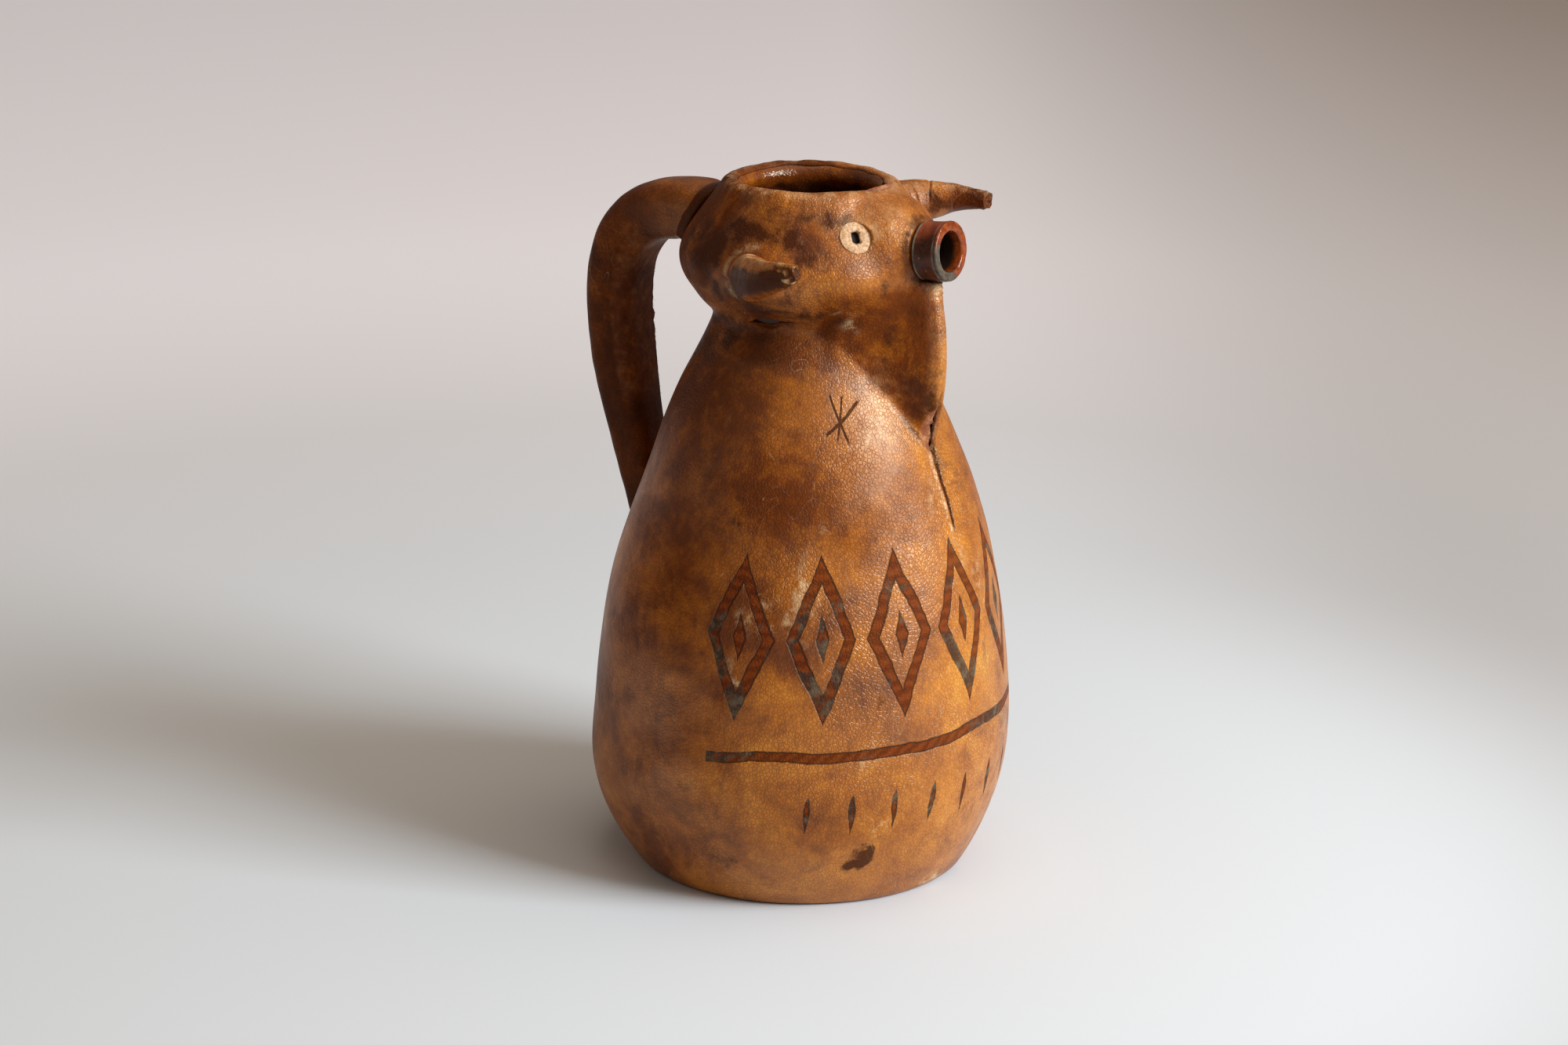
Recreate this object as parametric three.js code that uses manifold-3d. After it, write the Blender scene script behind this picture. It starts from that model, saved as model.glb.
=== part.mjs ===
// Leather-covered pitcher in the form of a horned animal: a glazed earthenware jug dressed in formed hide.
// Millimetres, +Z up. The origin is on the jug's axis, in the plane that it stands on.
// The spout points along +X, the handle along -X, and the animal's left side is +Y.

import * as THREE from 'three';
import { mergeVertices } from 'three/addons/utils/BufferGeometryUtils.js';
import Module from 'manifold-3d';

const wasm = await Module();
wasm.setup();

const degrees = THREE.MathUtils.degToRad;

// Stock: thickness of the hide and of the clay, and the gap that neighbouring pieces keep
const hide = 2.6;
const wall = 5;
const clearance = 0.3;

// Jug: outside radii of the clay, and the rise from each one to the next
const baseRadius = 61.7;
const bellyRadius = 77.6;
const neckRadius = 33.3;
const headRadius = 46.2;
const rimRadius = 31;
const bellyRise = 46;
const neckRise = 166;
const headRise = 23.2;
const rimRise = 25.2;

// Jug: how far the outline runs straight on from each of those places before it bends
const baseStraight = 8;
const baseFlare = 4.4;
const bellyStraightBelow = 15.5;
const bellyStraightAbove = 98;
const neckStraightBelow = 12.5;
const neckStraightAbove = 7.6;
const headStraightBelow = 12;
const headStraightAbove = 6;
const rimStraight = 9.4;
const rimLean = degrees(32);

// Hide: the neck joint, the front seam with the place where it gapes, the lining and the sole
const neckJointRise = 3;
const neckJointTilt = degrees(6);
const seamGap = 0.6;
const gapeWidth = 3.2;
const gapeLength = 22;
const gapeDrop = 37;
const liningDepth = 17;
const soleInset = 0.4;
const soleBevel = 0.8;

// Spout: its axis crosses the jug's axis above the widest part of the head
const spoutRise = 3.4;
const spoutTilt = degrees(5);
const spoutLength = 16;
const spoutBore = 6.3;
const spoutWall = 2;
const collarLength = 10.4;
const muzzleRootLip = 5.5;
const muzzleFrontLip = 0.8;

// Dewlap: the fold of hide between the snout and the chest
const keelFootDrop = 45;
const keelBulge = 7.5;
const keelFold = 0.6;
const keelSetback = 5.5;
const keelRootDepth = 12;
const keelRootHalfWidth = 26;

// Handle: the outside of its wrap, and the course of its middle line
const handleTopRise = 11.5;
const handleFootRise = 63;
const gripStand = 56.4;
const gripDrop = 7;
const gripHalfDepth = 11;
const gripHalfWidth = 12.5;
const handleTopSwell = 1.2;
const handleFootSlim = 1;
const handleTopStraight = 51;
const gripStraightAbove = 27;
const gripStraightBelow = 22;
const handleFootStraight = 31;
const handleFootLean = degrees(20);
const handleFootSink = 5;

// Horns: the outside of the rolled hide
const hornRootForward = 4;
const hornRootSink = 8;
const hornRootRadius = 10;
const hornTipRadius = 3.4;
const hornTipForward = 34;
const hornTipSpread = 17;
const hornBendForward = 6;
const hornBendSpread = 17;
const hornCoreShare = 0.66;
const leftHornRootRise = 9;
const leftHornTipRise = 6;
const rightHornRootRise = 0;
const rightHornTipRise = 10;

// Eyes
const eyeRise = 12.8;
const eyeTurn = degrees(33.5);
const eyeRadius = 5.6;
const pupilRadius = 1.9;
const eyeRecess = 0.5;

// Facets
const turnSteps = 36;
const bellySteps = 5;
const shoulderSteps = 8;
const headSteps = 4;
const rimSteps = 3;
const spoutSides = 24;
const keelSteps = 7;
const noseSteps = 4;
const handleSteps = 18;
const handleSides = 14;
const hornSteps = 7;
const hornSides = 12;
const eyeSides = 14;
const gapeSteps = 6;

// Closeness: points nearer than this are one point, and halvings made when a height is looked up
const weldDistance = 1e-4;
const searchHalvings = 40;

// Places that follow from the sizes
const cover = clearance + hide;
const floorHeight = cover;
const bellyHeight = floorHeight + bellyRise;
const neckHeight = bellyHeight + neckRise;
const headHeight = neckHeight + headRise;
const rimHeight = headHeight + rimRise;
const spoutHeight = headHeight + spoutRise;
const spoutRoot = headRadius / 2;
const spoutTip = headRadius + spoutLength;
const spoutRadius = spoutBore + spoutWall;
const collarRadius = spoutRadius + cover;
const collarBack = spoutTip - collarLength;
const handleTopHeight = headHeight + handleTopRise;
const handleFootHeight = bellyHeight + handleFootRise;
const gripReach = neckRadius + gripStand;
const gripHeight = neckHeight - gripDrop;
const keelFootHeight = neckHeight - keelFootDrop;
const eyeHeight = headHeight + eyeRise;
const eyeRodLength = 4 * cover;
const span = 2 * (rimHeight + bellyRadius + gripReach);

// Outline of the clay, from the edge of the base to the rim, as four curves that meet upright
function cubic(...pairs) {
  return new THREE.CubicBezierCurve(...pairs.map(([radius, height]) => new THREE.Vector2(radius, height)));
}

const bellyCurve = cubic(
  [baseRadius, floorHeight],
  [baseRadius + baseFlare, floorHeight + baseStraight],
  [bellyRadius, bellyHeight - bellyStraightBelow],
  [bellyRadius, bellyHeight],
);
const shoulderCurve = cubic(
  [bellyRadius, bellyHeight],
  [bellyRadius, bellyHeight + bellyStraightAbove],
  [neckRadius, neckHeight - neckStraightBelow],
  [neckRadius, neckHeight],
);
const napeCurve = cubic(
  [neckRadius, neckHeight],
  [neckRadius, neckHeight + neckStraightAbove],
  [headRadius, headHeight - headStraightBelow],
  [headRadius, headHeight],
);
const crownCurve = cubic(
  [headRadius, headHeight],
  [headRadius, headHeight + headStraightAbove],
  [rimRadius + rimStraight * Math.sin(rimLean), rimHeight - rimStraight * Math.cos(rimLean)],
  [rimRadius, rimHeight],
);

// A station is a point of the outline with the direction that points out of the clay there
function station(curve, share) {
  const tangent = curve.getTangent(share);
  return { point: curve.getPoint(share), outward: new THREE.Vector2(tangent.y, -tangent.x) };
}

function stations(curve, steps) {
  return Array.from({ length: steps + 1 }, (_, step) => station(curve, step / steps));
}

function moved({ point, outward }, distance) {
  return point.clone().addScaledVector(outward, distance);
}

const outline = [
  ...stations(bellyCurve, bellySteps),
  ...stations(shoulderCurve, shoulderSteps).slice(1),
  ...stations(napeCurve, headSteps).slice(1),
  ...stations(crownCurve, headSteps).slice(1),
];

// The rim is the round end of the wall: angle 0 is outside, half a turn is inside
const rim = station(crownCurve, 1);
const rimCentre = moved(rim, -wall / 2);

function rimArc(fromAngle, toAngle, distance) {
  const inward = new THREE.Vector2(-rim.outward.y, rim.outward.x);
  return Array.from({ length: rimSteps + 1 }, (_, step) => {
    const angle = THREE.MathUtils.lerp(fromAngle, toAngle, step / rimSteps);
    const arm = wall / 2 + distance;
    return rimCentre.clone()
      .addScaledVector(rim.outward, arm * Math.cos(angle))
      .addScaledVector(inward, arm * Math.sin(angle));
  });
}

// Radius and slope of the outline at a height
function stationAt(height) {
  const curve = [bellyCurve, shoulderCurve, napeCurve, crownCurve].find((c) => c.v3.y >= height);
  let low = 0;
  let high = 1;
  for (let step = 0; step < searchHalvings; step += 1) {
    const middle = (low + high) / 2;
    if (curve.getPoint(middle).y < height) low = middle;
    else high = middle;
  }
  return station(curve, low);
}

// Solids: three.js geometry in, joined and cut by manifold-3d, three.js geometry out
function solid(geometry) {
  geometry.deleteAttribute('normal');
  geometry.deleteAttribute('uv');
  const merged = mergeVertices(geometry, weldDistance);
  const corners = merged.index.array;
  const triVerts = [];
  for (let first = 0; first < corners.length; first += 3) {
    const [a, b, c] = corners.slice(first, first + 3);
    if (a !== b && b !== c && c !== a) triVerts.push(a, b, c);
  }
  const vertProperties = merged.attributes.position.array;
  return new wasm.Manifold(new wasm.Mesh({ numProp: 3, vertProperties, triVerts: new Uint32Array(triVerts) }));
}

function geometryOf(manifold) {
  const { vertProperties, triVerts } = manifold.getMesh();
  const geometry = new THREE.BufferGeometry();
  geometry.setAttribute('position', new THREE.BufferAttribute(vertProperties, 3));
  geometry.setIndex(new THREE.BufferAttribute(triVerts, 1));
  geometry.computeVertexNormals();
  return geometry;
}

function revolved(profile) {
  return new THREE.LatheGeometry(profile, turnSteps).rotateX(Math.PI / 2);
}

function closed(profile) {
  return [...profile, profile[0].clone()];
}

// The clay's outside grown by a distance and filled, to cut seats with
function filled(distance) {
  const side = outline.map((place) => moved(place, distance));
  const bottom = new THREE.Vector2(0, side[0].y);
  const top = new THREE.Vector2(0, side.at(-1).y);
  return solid(revolved([bottom, ...side, top]));
}

// A shape about the spout's own axis: radius and distance along it, from the jug's axis
function alongSpout(profile) {
  const geometry = new THREE.LatheGeometry(profile, spoutSides);
  geometry.rotateZ(-Math.PI / 2);
  geometry.rotateY(-spoutTilt);
  return geometry.translate(0, 0, spoutHeight);
}

function spoutRod(radius, from, to) {
  const profile = [[0, from], [radius, from], [radius, to], [0, to]];
  return solid(alongSpout(profile.map(([r, along]) => new THREE.Vector2(r, along))));
}

// A skin over rings of points that run anticlockwise about the direction from first to last
function loft(rings) {
  const sides = rings[0].length;
  const points = rings.flat();
  const faces = [];
  for (let ring = 0; ring + 1 < rings.length; ring += 1) {
    for (let side = 0; side < sides; side += 1) {
      const a = ring * sides + side;
      const b = ring * sides + (side + 1) % sides;
      faces.push(a, b, b + sides, a, b + sides, a + sides);
    }
  }
  for (const [ring, turn] of [[0, 1], [rings.length - 1, 0]]) {
    const middle = points.length;
    const sum = rings[ring].reduce((total, point) => total.add(point), new THREE.Vector3());
    points.push(sum.divideScalar(sides));
    for (let side = 0; side < sides; side += 1) {
      const edge = [ring * sides + side, ring * sides + (side + 1) % sides];
      faces.push(middle, edge[turn], edge[1 - turn]);
    }
  }
  const geometry = new THREE.BufferGeometry().setFromPoints(points);
  geometry.setIndex(faces);
  return geometry;
}

// A section carried along a curve. Its points are [depth, width], with width along the given direction
function sweep(curve, across, section, steps, share = 1) {
  const rings = Array.from({ length: steps + 1 }, (_, step) => {
    const along = share * step / steps;
    const place = curve.getPointAt(along);
    const tangent = curve.getTangentAt(along);
    const width = across.clone().addScaledVector(tangent, -across.dot(tangent)).normalize();
    const depth = tangent.clone().cross(width);
    return section(along).map(([d, w]) => place.clone().addScaledVector(depth, d).addScaledVector(width, w));
  });
  return solid(loft(rings));
}

function oval(halfDepth, halfWidth, sides) {
  return Array.from({ length: sides }, (_, side) => {
    const angle = -2 * Math.PI * side / sides;
    return [halfDepth * Math.cos(angle), halfWidth * Math.sin(angle)];
  });
}

// Handle: from the back of the head, over and down to the belly
const handleUpperEdge = stationAt(handleTopHeight + gripHalfDepth + handleTopSwell);
const handleTop = new THREE.Vector3(-handleUpperEdge.point.x + wall, 0, handleTopHeight);
const handleGrip = new THREE.Vector3(-gripReach, 0, gripHeight);
const handleFoot = new THREE.Vector3(-stationAt(handleFootHeight).point.x + handleFootSink, 0, handleFootHeight);
const footUp = new THREE.Vector3(-Math.sin(handleFootLean), 0, Math.cos(handleFootLean));
const handleLine = new THREE.CurvePath();
handleLine.add(new THREE.CubicBezierCurve3(
  handleTop,
  handleTop.clone().add(new THREE.Vector3(-handleTopStraight, 0, 0)),
  handleGrip.clone().add(new THREE.Vector3(0, 0, gripStraightAbove)),
  handleGrip,
));
handleLine.add(new THREE.CubicBezierCurve3(
  handleGrip,
  handleGrip.clone().add(new THREE.Vector3(0, 0, -gripStraightBelow)),
  handleFoot.clone().addScaledVector(footUp, handleFootStraight),
  handleFoot,
));
const sideways = new THREE.Vector3(0, 1, 0);

function handleRod(inset) {
  const section = (along) => {
    const swell = THREE.MathUtils.lerp(handleTopSwell, -handleFootSlim, along) - inset;
    return oval(gripHalfDepth + swell, gripHalfWidth + swell, handleSides);
  };
  return sweep(handleLine, sideways, section, handleSteps);
}

// The handle's seam lies on the inner side of its loop
function handleSeam() {
  const reach = 2 * gripHalfDepth;
  const half = seamGap / 2;
  const section = () => [[0, half], [reach, half], [reach, -half], [0, -half]];
  return sweep(handleLine, sideways, section, handleSteps);
}

// Horns: side is 1 for the animal's left and -1 for its right
function hornLine(side) {
  const rootRise = side > 0 ? leftHornRootRise : rightHornRootRise;
  const tipRise = side > 0 ? leftHornTipRise : rightHornTipRise;
  const skin = headRadius + cover;
  const at = (forward, outward, rise) => new THREE.Vector3(forward, side * outward, headHeight + rootRise + rise);
  return new THREE.QuadraticBezierCurve3(
    at(hornRootForward, skin - hornRootSink, 0),
    at(hornRootForward + hornBendForward, skin + hornBendSpread, 0),
    at(hornRootForward + hornTipForward, skin + hornTipSpread, tipRise),
  );
}

function hornRod(side, inset, share) {
  const section = (along) => {
    const radius = THREE.MathUtils.lerp(hornRootRadius, hornTipRadius, along) - inset;
    return oval(radius, radius, hornSides);
  };
  return sweep(hornLine(side), new THREE.Vector3(0, 0, 1), section, hornSteps, share);
}

// Eyes: a rod through the hide, square to it
function eyeRod(side, radius) {
  const { point, outward } = stationAt(eyeHeight);
  const around = new THREE.Vector3(Math.cos(eyeTurn), side * Math.sin(eyeTurn), 0);
  const upright = new THREE.Vector3(0, 0, 1);
  const normal = around.clone().multiplyScalar(outward.x).addScaledVector(upright, outward.y);
  const rod = new THREE.CylinderGeometry(radius, radius, eyeRodLength, eyeSides);
  rod.applyQuaternion(new THREE.Quaternion().setFromUnitVectors(sideways, normal));
  const centre = around.multiplyScalar(point.x).addScaledVector(upright, point.y);
  return solid(rod.translate(centre.x, centre.y, centre.z));
}

// Dewlap: level sections whose nose follows the keel line
const chest = moved(stationAt(keelFootHeight), cover);
const throat = new THREE.Vector2(spoutTip - keelSetback, spoutHeight + spoutTip * Math.tan(spoutTilt) - collarRadius);
const keelLine = new THREE.QuadraticBezierCurve(
  chest,
  chest.clone().add(throat).divideScalar(2).add(new THREE.Vector2(keelBulge, 0)),
  throat,
);

function dewlap(inset) {
  const nose = keelFold + hide - inset;
  const rootHalfWidth = keelRootHalfWidth - inset;
  const rings = Array.from({ length: keelSteps + 1 }, (_, step) => {
    const keel = keelLine.getPoint(step / keelSteps);
    const centre = keel.x - inset - nose;
    const edge = Array.from({ length: noseSteps + 1 }, (__, turn) => {
      const angle = Math.PI * (turn / noseSteps - 0.5);
      return new THREE.Vector3(centre + nose * Math.cos(angle), nose * Math.sin(angle), keel.y);
    });
    const right = new THREE.Vector3(keelRootDepth, -rootHalfWidth, keel.y);
    const left = new THREE.Vector3(keelRootDepth, rootHalfWidth, keel.y);
    return [right, ...edge, left];
  });
  return solid(loft(rings));
}

// The half of space above or below the neck joint, which rises towards the front
function besideNeckJoint(side) {
  const block = new THREE.BoxGeometry(span, span, span);
  block.translate(0, 0, side * (span + clearance) / 2);
  block.rotateY(-neckJointTilt);
  return solid(block.translate(0, 0, neckHeight + neckJointRise));
}

// The front seam of the body, with the place where its edges gape
function bodySeam() {
  const slit = solid(new THREE.BoxGeometry(span, seamGap, span).translate(span / 2, 0, 0));
  const lens = new THREE.Shape();
  lens.moveTo(0, -gapeLength / 2);
  lens.quadraticCurveTo(gapeWidth, 0, 0, gapeLength / 2);
  lens.quadraticCurveTo(-gapeWidth, 0, 0, -gapeLength / 2);
  const gape = new THREE.ExtrudeGeometry(lens, { depth: span, bevelEnabled: false, curveSegments: gapeSteps });
  const forward = new THREE.Vector3(1, 0, 0);
  const upright = new THREE.Vector3(0, 0, 1);
  gape.applyMatrix4(new THREE.Matrix4().makeBasis(sideways, upright, forward));
  return slit.add(solid(gape.translate(0, 0, neckHeight - gapeDrop)));
}

// Glazed earthenware vessel, with the hole that feeds the spout
function earthenwareJug() {
  const outside = outline.map((place) => moved(place, 0));
  const inside = outline.map((place) => moved(place, -wall)).reverse();
  const well = inside.filter((place) => place.y > floorHeight + wall);
  const bottom = new THREE.Vector2(0, floorHeight);
  const bed = new THREE.Vector2(well.at(-1).x - wall, floorHeight + wall);
  const bedMiddle = new THREE.Vector2(0, floorHeight + wall);
  const rimRound = rimArc(0, Math.PI, 0).slice(1, -1);
  const vessel = solid(revolved([bottom, ...outside, ...rimRound, ...well, bed, bedMiddle]));
  return vessel.subtract(spoutRod(spoutBore, spoutRoot, spoutTip));
}

// Clay tube luted to the head over that hole, with a rounded lip
function spoutTube() {
  const lip = spoutWall / 2;
  const round = Array.from({ length: rimSteps + 1 }, (_, step) => {
    const angle = Math.PI * step / rimSteps;
    return new THREE.Vector2(spoutBore + lip + lip * Math.cos(angle), spoutTip - lip + lip * Math.sin(angle));
  });
  const profile = [new THREE.Vector2(spoutRadius, spoutRoot), ...round, new THREE.Vector2(spoutBore, spoutRoot)];
  return solid(alongSpout(closed(profile))).subtract(filled(clearance));
}

// Hide over the whole jug, from the base to the middle of the rim, with the dewlap let into it
function wholeCover() {
  const jointAngle = Math.PI / 2 - clearance / wall;
  const outer = [...outline.map((place) => moved(place, cover)), ...rimArc(0, jointAngle, cover).slice(1)];
  const inner = [...outline.map((place) => moved(place, clearance)), ...rimArc(0, jointAngle, clearance).slice(1)];
  const shell = solid(revolved(closed([...outer, ...inner.reverse()])));
  const fold = dewlap(0).subtract(filled(clearance));
  return shell.add(fold).subtract(dewlap(hide)).subtract(handleRod(hide));
}

// Hide round the belly, open along the front seam
function bodyCover() {
  return wholeCover().intersect(besideNeckJoint(-1)).subtract(bodySeam());
}

// Hide over the head, with a muzzle round the spout and holes for the eyes
function headCover() {
  const frontFace = collarBack - clearance;
  const profile = [
    [0, spoutRoot],
    [collarRadius + muzzleRootLip, spoutRoot],
    [collarRadius + muzzleRootLip, headRadius - hide],
    [collarRadius + muzzleFrontLip, frontFace],
    [0, frontFace],
  ];
  const boss = solid(alongSpout(profile.map(([radius, along]) => new THREE.Vector2(radius, along))));
  const muzzle = boss.subtract(filled(clearance));
  const collarRoom = spoutRod(collarRadius + clearance, frontFace, span);
  const tubeRoom = spoutRod(spoutRadius + clearance, 0, span);
  let head = wholeCover().intersect(besideNeckJoint(1)).add(muzzle).subtract(collarRoom).subtract(tubeRoom);
  for (const side of [1, -1]) head = head.subtract(eyeRod(side, eyeRadius));
  return head;
}

// Strip of hide turned into the mouth, from the middle of the rim down, cut away round the spout's hole
function mouthLining() {
  const jointAngle = Math.PI / 2 + clearance / wall;
  const length = crownCurve.getLength();
  const run = Array.from({ length: rimSteps }, (_, step) => {
    const along = 1 - liningDepth * (step + 1) / rimSteps / length;
    return station(crownCurve, crownCurve.getUtoTmapping(along));
  });
  const seen = [...rimArc(jointAngle, Math.PI, cover), ...run.map((place) => moved(place, -wall - cover))];
  const back = [...rimArc(jointAngle, Math.PI, clearance), ...run.map((place) => moved(place, -wall - clearance))];
  const strip = solid(revolved(closed([...seen, ...back.reverse()])));
  return strip.subtract(spoutRod(spoutBore, spoutRoot, spoutTip));
}

// Disc of hide under the jug
function baseSole() {
  const radius = baseRadius - soleInset;
  const profile = [[0, 0], [radius - soleBevel, 0], [radius, soleBevel], [radius, hide], [0, hide]];
  return solid(revolved(profile.map(([r, height]) => new THREE.Vector2(r, height))));
}

// Dark leather ring round the spout
function spoutCollar() {
  const inner = spoutRadius + clearance;
  const tip = spoutTip - spoutWall / 2;
  const profile = [[inner, collarBack], [collarRadius, collarBack], [collarRadius, tip], [inner, tip]];
  return solid(alongSpout(closed(profile.map(([radius, along]) => new THREE.Vector2(radius, along)))));
}

// Clay handle, its two ends seated on the jug
function handleCore() {
  return handleRod(cover).subtract(filled(clearance));
}

// Hide round the handle, from the head cover to the body cover, open along its seam
function handleWrap() {
  const tube = handleRod(0).subtract(handleRod(hide)).subtract(filled(cover + clearance));
  return tube.subtract(handleSeam());
}

// Wooden peg inside a horn
function hornCore(side) {
  return hornRod(side, cover, hornCoreShare).subtract(filled(cover + clearance));
}

// Rolled hide of a horn, standing on the head cover
function hornWrap(side) {
  return hornRod(side, 0, 1).subtract(hornRod(side, hide, hornCoreShare)).subtract(filled(cover + clearance));
}

// Pale disc let into the head cover, with the pupil punched out
function eyeInlay(side) {
  const layer = filled(cover - eyeRecess).subtract(filled(clearance));
  return eyeRod(side, eyeRadius - clearance).intersect(layer).subtract(eyeRod(side, pupilRadius));
}

const amberHide = new THREE.MeshStandardMaterial({ color: '#8f5a2a', roughness: 0.5, metalness: 0 });
const darkHide = new THREE.MeshStandardMaterial({ color: '#43301f', roughness: 0.6, metalness: 0 });
const paleHide = new THREE.MeshStandardMaterial({ color: '#c9a77c', roughness: 0.7, metalness: 0 });
const glaze = new THREE.MeshStandardMaterial({ color: '#a8431a', roughness: 0.15, metalness: 0 });
const wood = new THREE.MeshStandardMaterial({ color: '#9b7a50', roughness: 0.8, metalness: 0 });

const pitcher = new THREE.Group();

function addPiece(name, manifold, material) {
  const mesh = new THREE.Mesh(geometryOf(manifold), material);
  mesh.name = name;
  pitcher.add(mesh);
}

addPiece('earthenware_jug', earthenwareJug(), glaze);
addPiece('spout_tube', spoutTube(), glaze);
addPiece('handle_core', handleCore(), glaze);
addPiece('body_cover', bodyCover(), amberHide);
addPiece('head_cover', headCover(), amberHide);
addPiece('mouth_lining', mouthLining(), amberHide);
addPiece('base_sole', baseSole(), darkHide);
addPiece('handle_wrap', handleWrap(), amberHide);
addPiece('spout_collar', spoutCollar(), darkHide);
for (const [word, side] of [['left', 1], ['right', -1]]) {
  addPiece(`horn_core_${word}`, hornCore(side), wood);
  addPiece(`horn_wrap_${word}`, hornWrap(side), amberHide);
  addPiece(`eye_inlay_${word}`, eyeInlay(side), paleHide);
}

export default pitcher;
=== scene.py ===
# %% [markdown]
# # A leather-covered pitcher in the form of a horned animal
# The real pitcher is a glazed earthenware jug. Wet hide was drawn over it, glued, pinched into a fold
# under the snout, and rubbed down until it dried hard. Then marks were burnt into it.
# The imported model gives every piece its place, so the first step loads it. All lengths below are in
# millimetres, as a maker would measure them, and each mesh is made in metres at the very end.

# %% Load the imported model
import math
from functools import partialmethod, reduce
from math import radians

import bmesh
import bpy
import numpy as np
from mathutils import Matrix, Vector, noise


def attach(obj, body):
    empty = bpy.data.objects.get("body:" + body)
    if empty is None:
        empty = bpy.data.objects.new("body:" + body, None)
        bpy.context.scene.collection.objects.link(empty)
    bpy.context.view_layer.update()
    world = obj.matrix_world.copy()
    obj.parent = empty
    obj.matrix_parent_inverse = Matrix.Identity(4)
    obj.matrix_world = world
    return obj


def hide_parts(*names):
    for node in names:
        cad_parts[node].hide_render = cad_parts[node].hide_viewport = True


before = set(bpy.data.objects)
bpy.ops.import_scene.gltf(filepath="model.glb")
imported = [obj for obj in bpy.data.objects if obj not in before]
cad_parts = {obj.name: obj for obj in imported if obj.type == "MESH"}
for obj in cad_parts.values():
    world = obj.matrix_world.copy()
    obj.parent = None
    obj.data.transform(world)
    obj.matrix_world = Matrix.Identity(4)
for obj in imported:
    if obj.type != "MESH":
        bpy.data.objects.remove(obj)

MM = 0.001
scene = bpy.context.scene
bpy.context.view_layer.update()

# %% [markdown]
# ## Camera
# A long lens a metre and a half away looks down on the jug from the animal's right, about a sixth of a
# turn round from the snout. The camera is made first. Its axes are written out as vectors, so the small
# roll of the hand-held shot can be added plainly.

# %% Camera
lens_turn = radians(33.5)
lens_pitch = radians(17.06)
lens_roll = radians(0.88)
lens_distance = 1.473
rightward = Vector((math.cos(lens_turn), math.sin(lens_turn), 0))
away = Vector((-math.sin(lens_turn), math.cos(lens_turn), 0))
upright = Vector((0, 0, 1))
aim = rightward * -0.00805 + upright * 0.1318
sight = away * math.cos(lens_pitch) - upright * math.sin(lens_pitch)
picture_up = away * math.sin(lens_pitch) + upright * math.cos(lens_pitch)
axis_x = rightward * math.cos(lens_roll) + picture_up * math.sin(lens_roll)
axis_y = picture_up * math.cos(lens_roll) - rightward * math.sin(lens_roll)

camera = bpy.data.objects.new("photo_camera", bpy.data.cameras.new("photo_camera"))
camera.data.sensor_width = 36
camera.data.lens = 88.2
camera.matrix_world = Matrix((axis_x, axis_y, -sight)).transposed().to_4x4()
camera.location = aim - sight * lens_distance
scene.collection.objects.link(camera)
scene.camera = camera
print("camera at", [round(value, 3) for value in camera.location])

# %% [markdown]
# ## Node helper
# Materials and Geometry Nodes trees are both built from nodes and links. One short helper adds a node,
# sets its properties, and either links or sets each input. A second one gives back one output as a term.
# Terms can be added, multiplied and compared, so that the trees below read like sums.

# %% Node helper
def put(tree, kind, inputs=None, **settings):
    node = tree.nodes.new(kind)
    for key, value in settings.items():
        setattr(node, key, value)
    for key, value in (inputs or {}).items():
        if isinstance(value, Term):
            tree.links.new(value.socket, node.inputs[key])
        else:
            node.inputs[key].default_value = value
    return node


def wire(tree, kind, inputs=None, output=0, **settings):
    return Term(put(tree, kind, inputs, **settings).outputs[output])


def reckon(operation, *values):
    """Adds a Math node to the tree that the terms among the values belong to."""
    tree = next(value.socket.id_data for value in values if isinstance(value, Term))
    return wire(tree, "ShaderNodeMath", dict(enumerate(values)), operation=operation)


class Term:
    """An output socket that can stand in a sum. Each sign of the sum adds one node."""

    def __init__(self, socket):
        self.socket = socket

    def before(self, operation, *other):
        return reckon(operation, self, *other)

    def after(self, operation, other):
        return reckon(operation, other, self)

    __add__ = partialmethod(before, "ADD")
    __radd__ = partialmethod(after, "ADD")
    __sub__ = partialmethod(before, "SUBTRACT")
    __rsub__ = partialmethod(after, "SUBTRACT")
    __mul__ = partialmethod(before, "MULTIPLY")
    __rmul__ = partialmethod(after, "MULTIPLY")
    __truediv__ = partialmethod(before, "DIVIDE")
    __rtruediv__ = partialmethod(after, "DIVIDE")
    __pow__ = partialmethod(before, "POWER")
    __lt__ = partialmethod(before, "LESS_THAN")
    __abs__ = partialmethod(before, "ABSOLUTE")


def most(first, second):
    return reckon("MAXIMUM", first, second)


def least(first, second):
    return reckon("MINIMUM", first, second)


def parts(tree, vector):
    node = put(tree, "ShaderNodeSeparateXYZ", {0: vector})
    return [Term(socket) for socket in node.outputs]


print("node helpers ready")

# %% [markdown]
# A finish is a material that is built up call by call. The calls are in a maker's words: a cloud is soft
# noise, a step is a smooth threshold, a tint lays one colour over another, and a layer is a value stored
# on the mesh.

# %% Finish helper
SHIFT_SHARES = (1.0, 1.7, 2.3)


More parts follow.
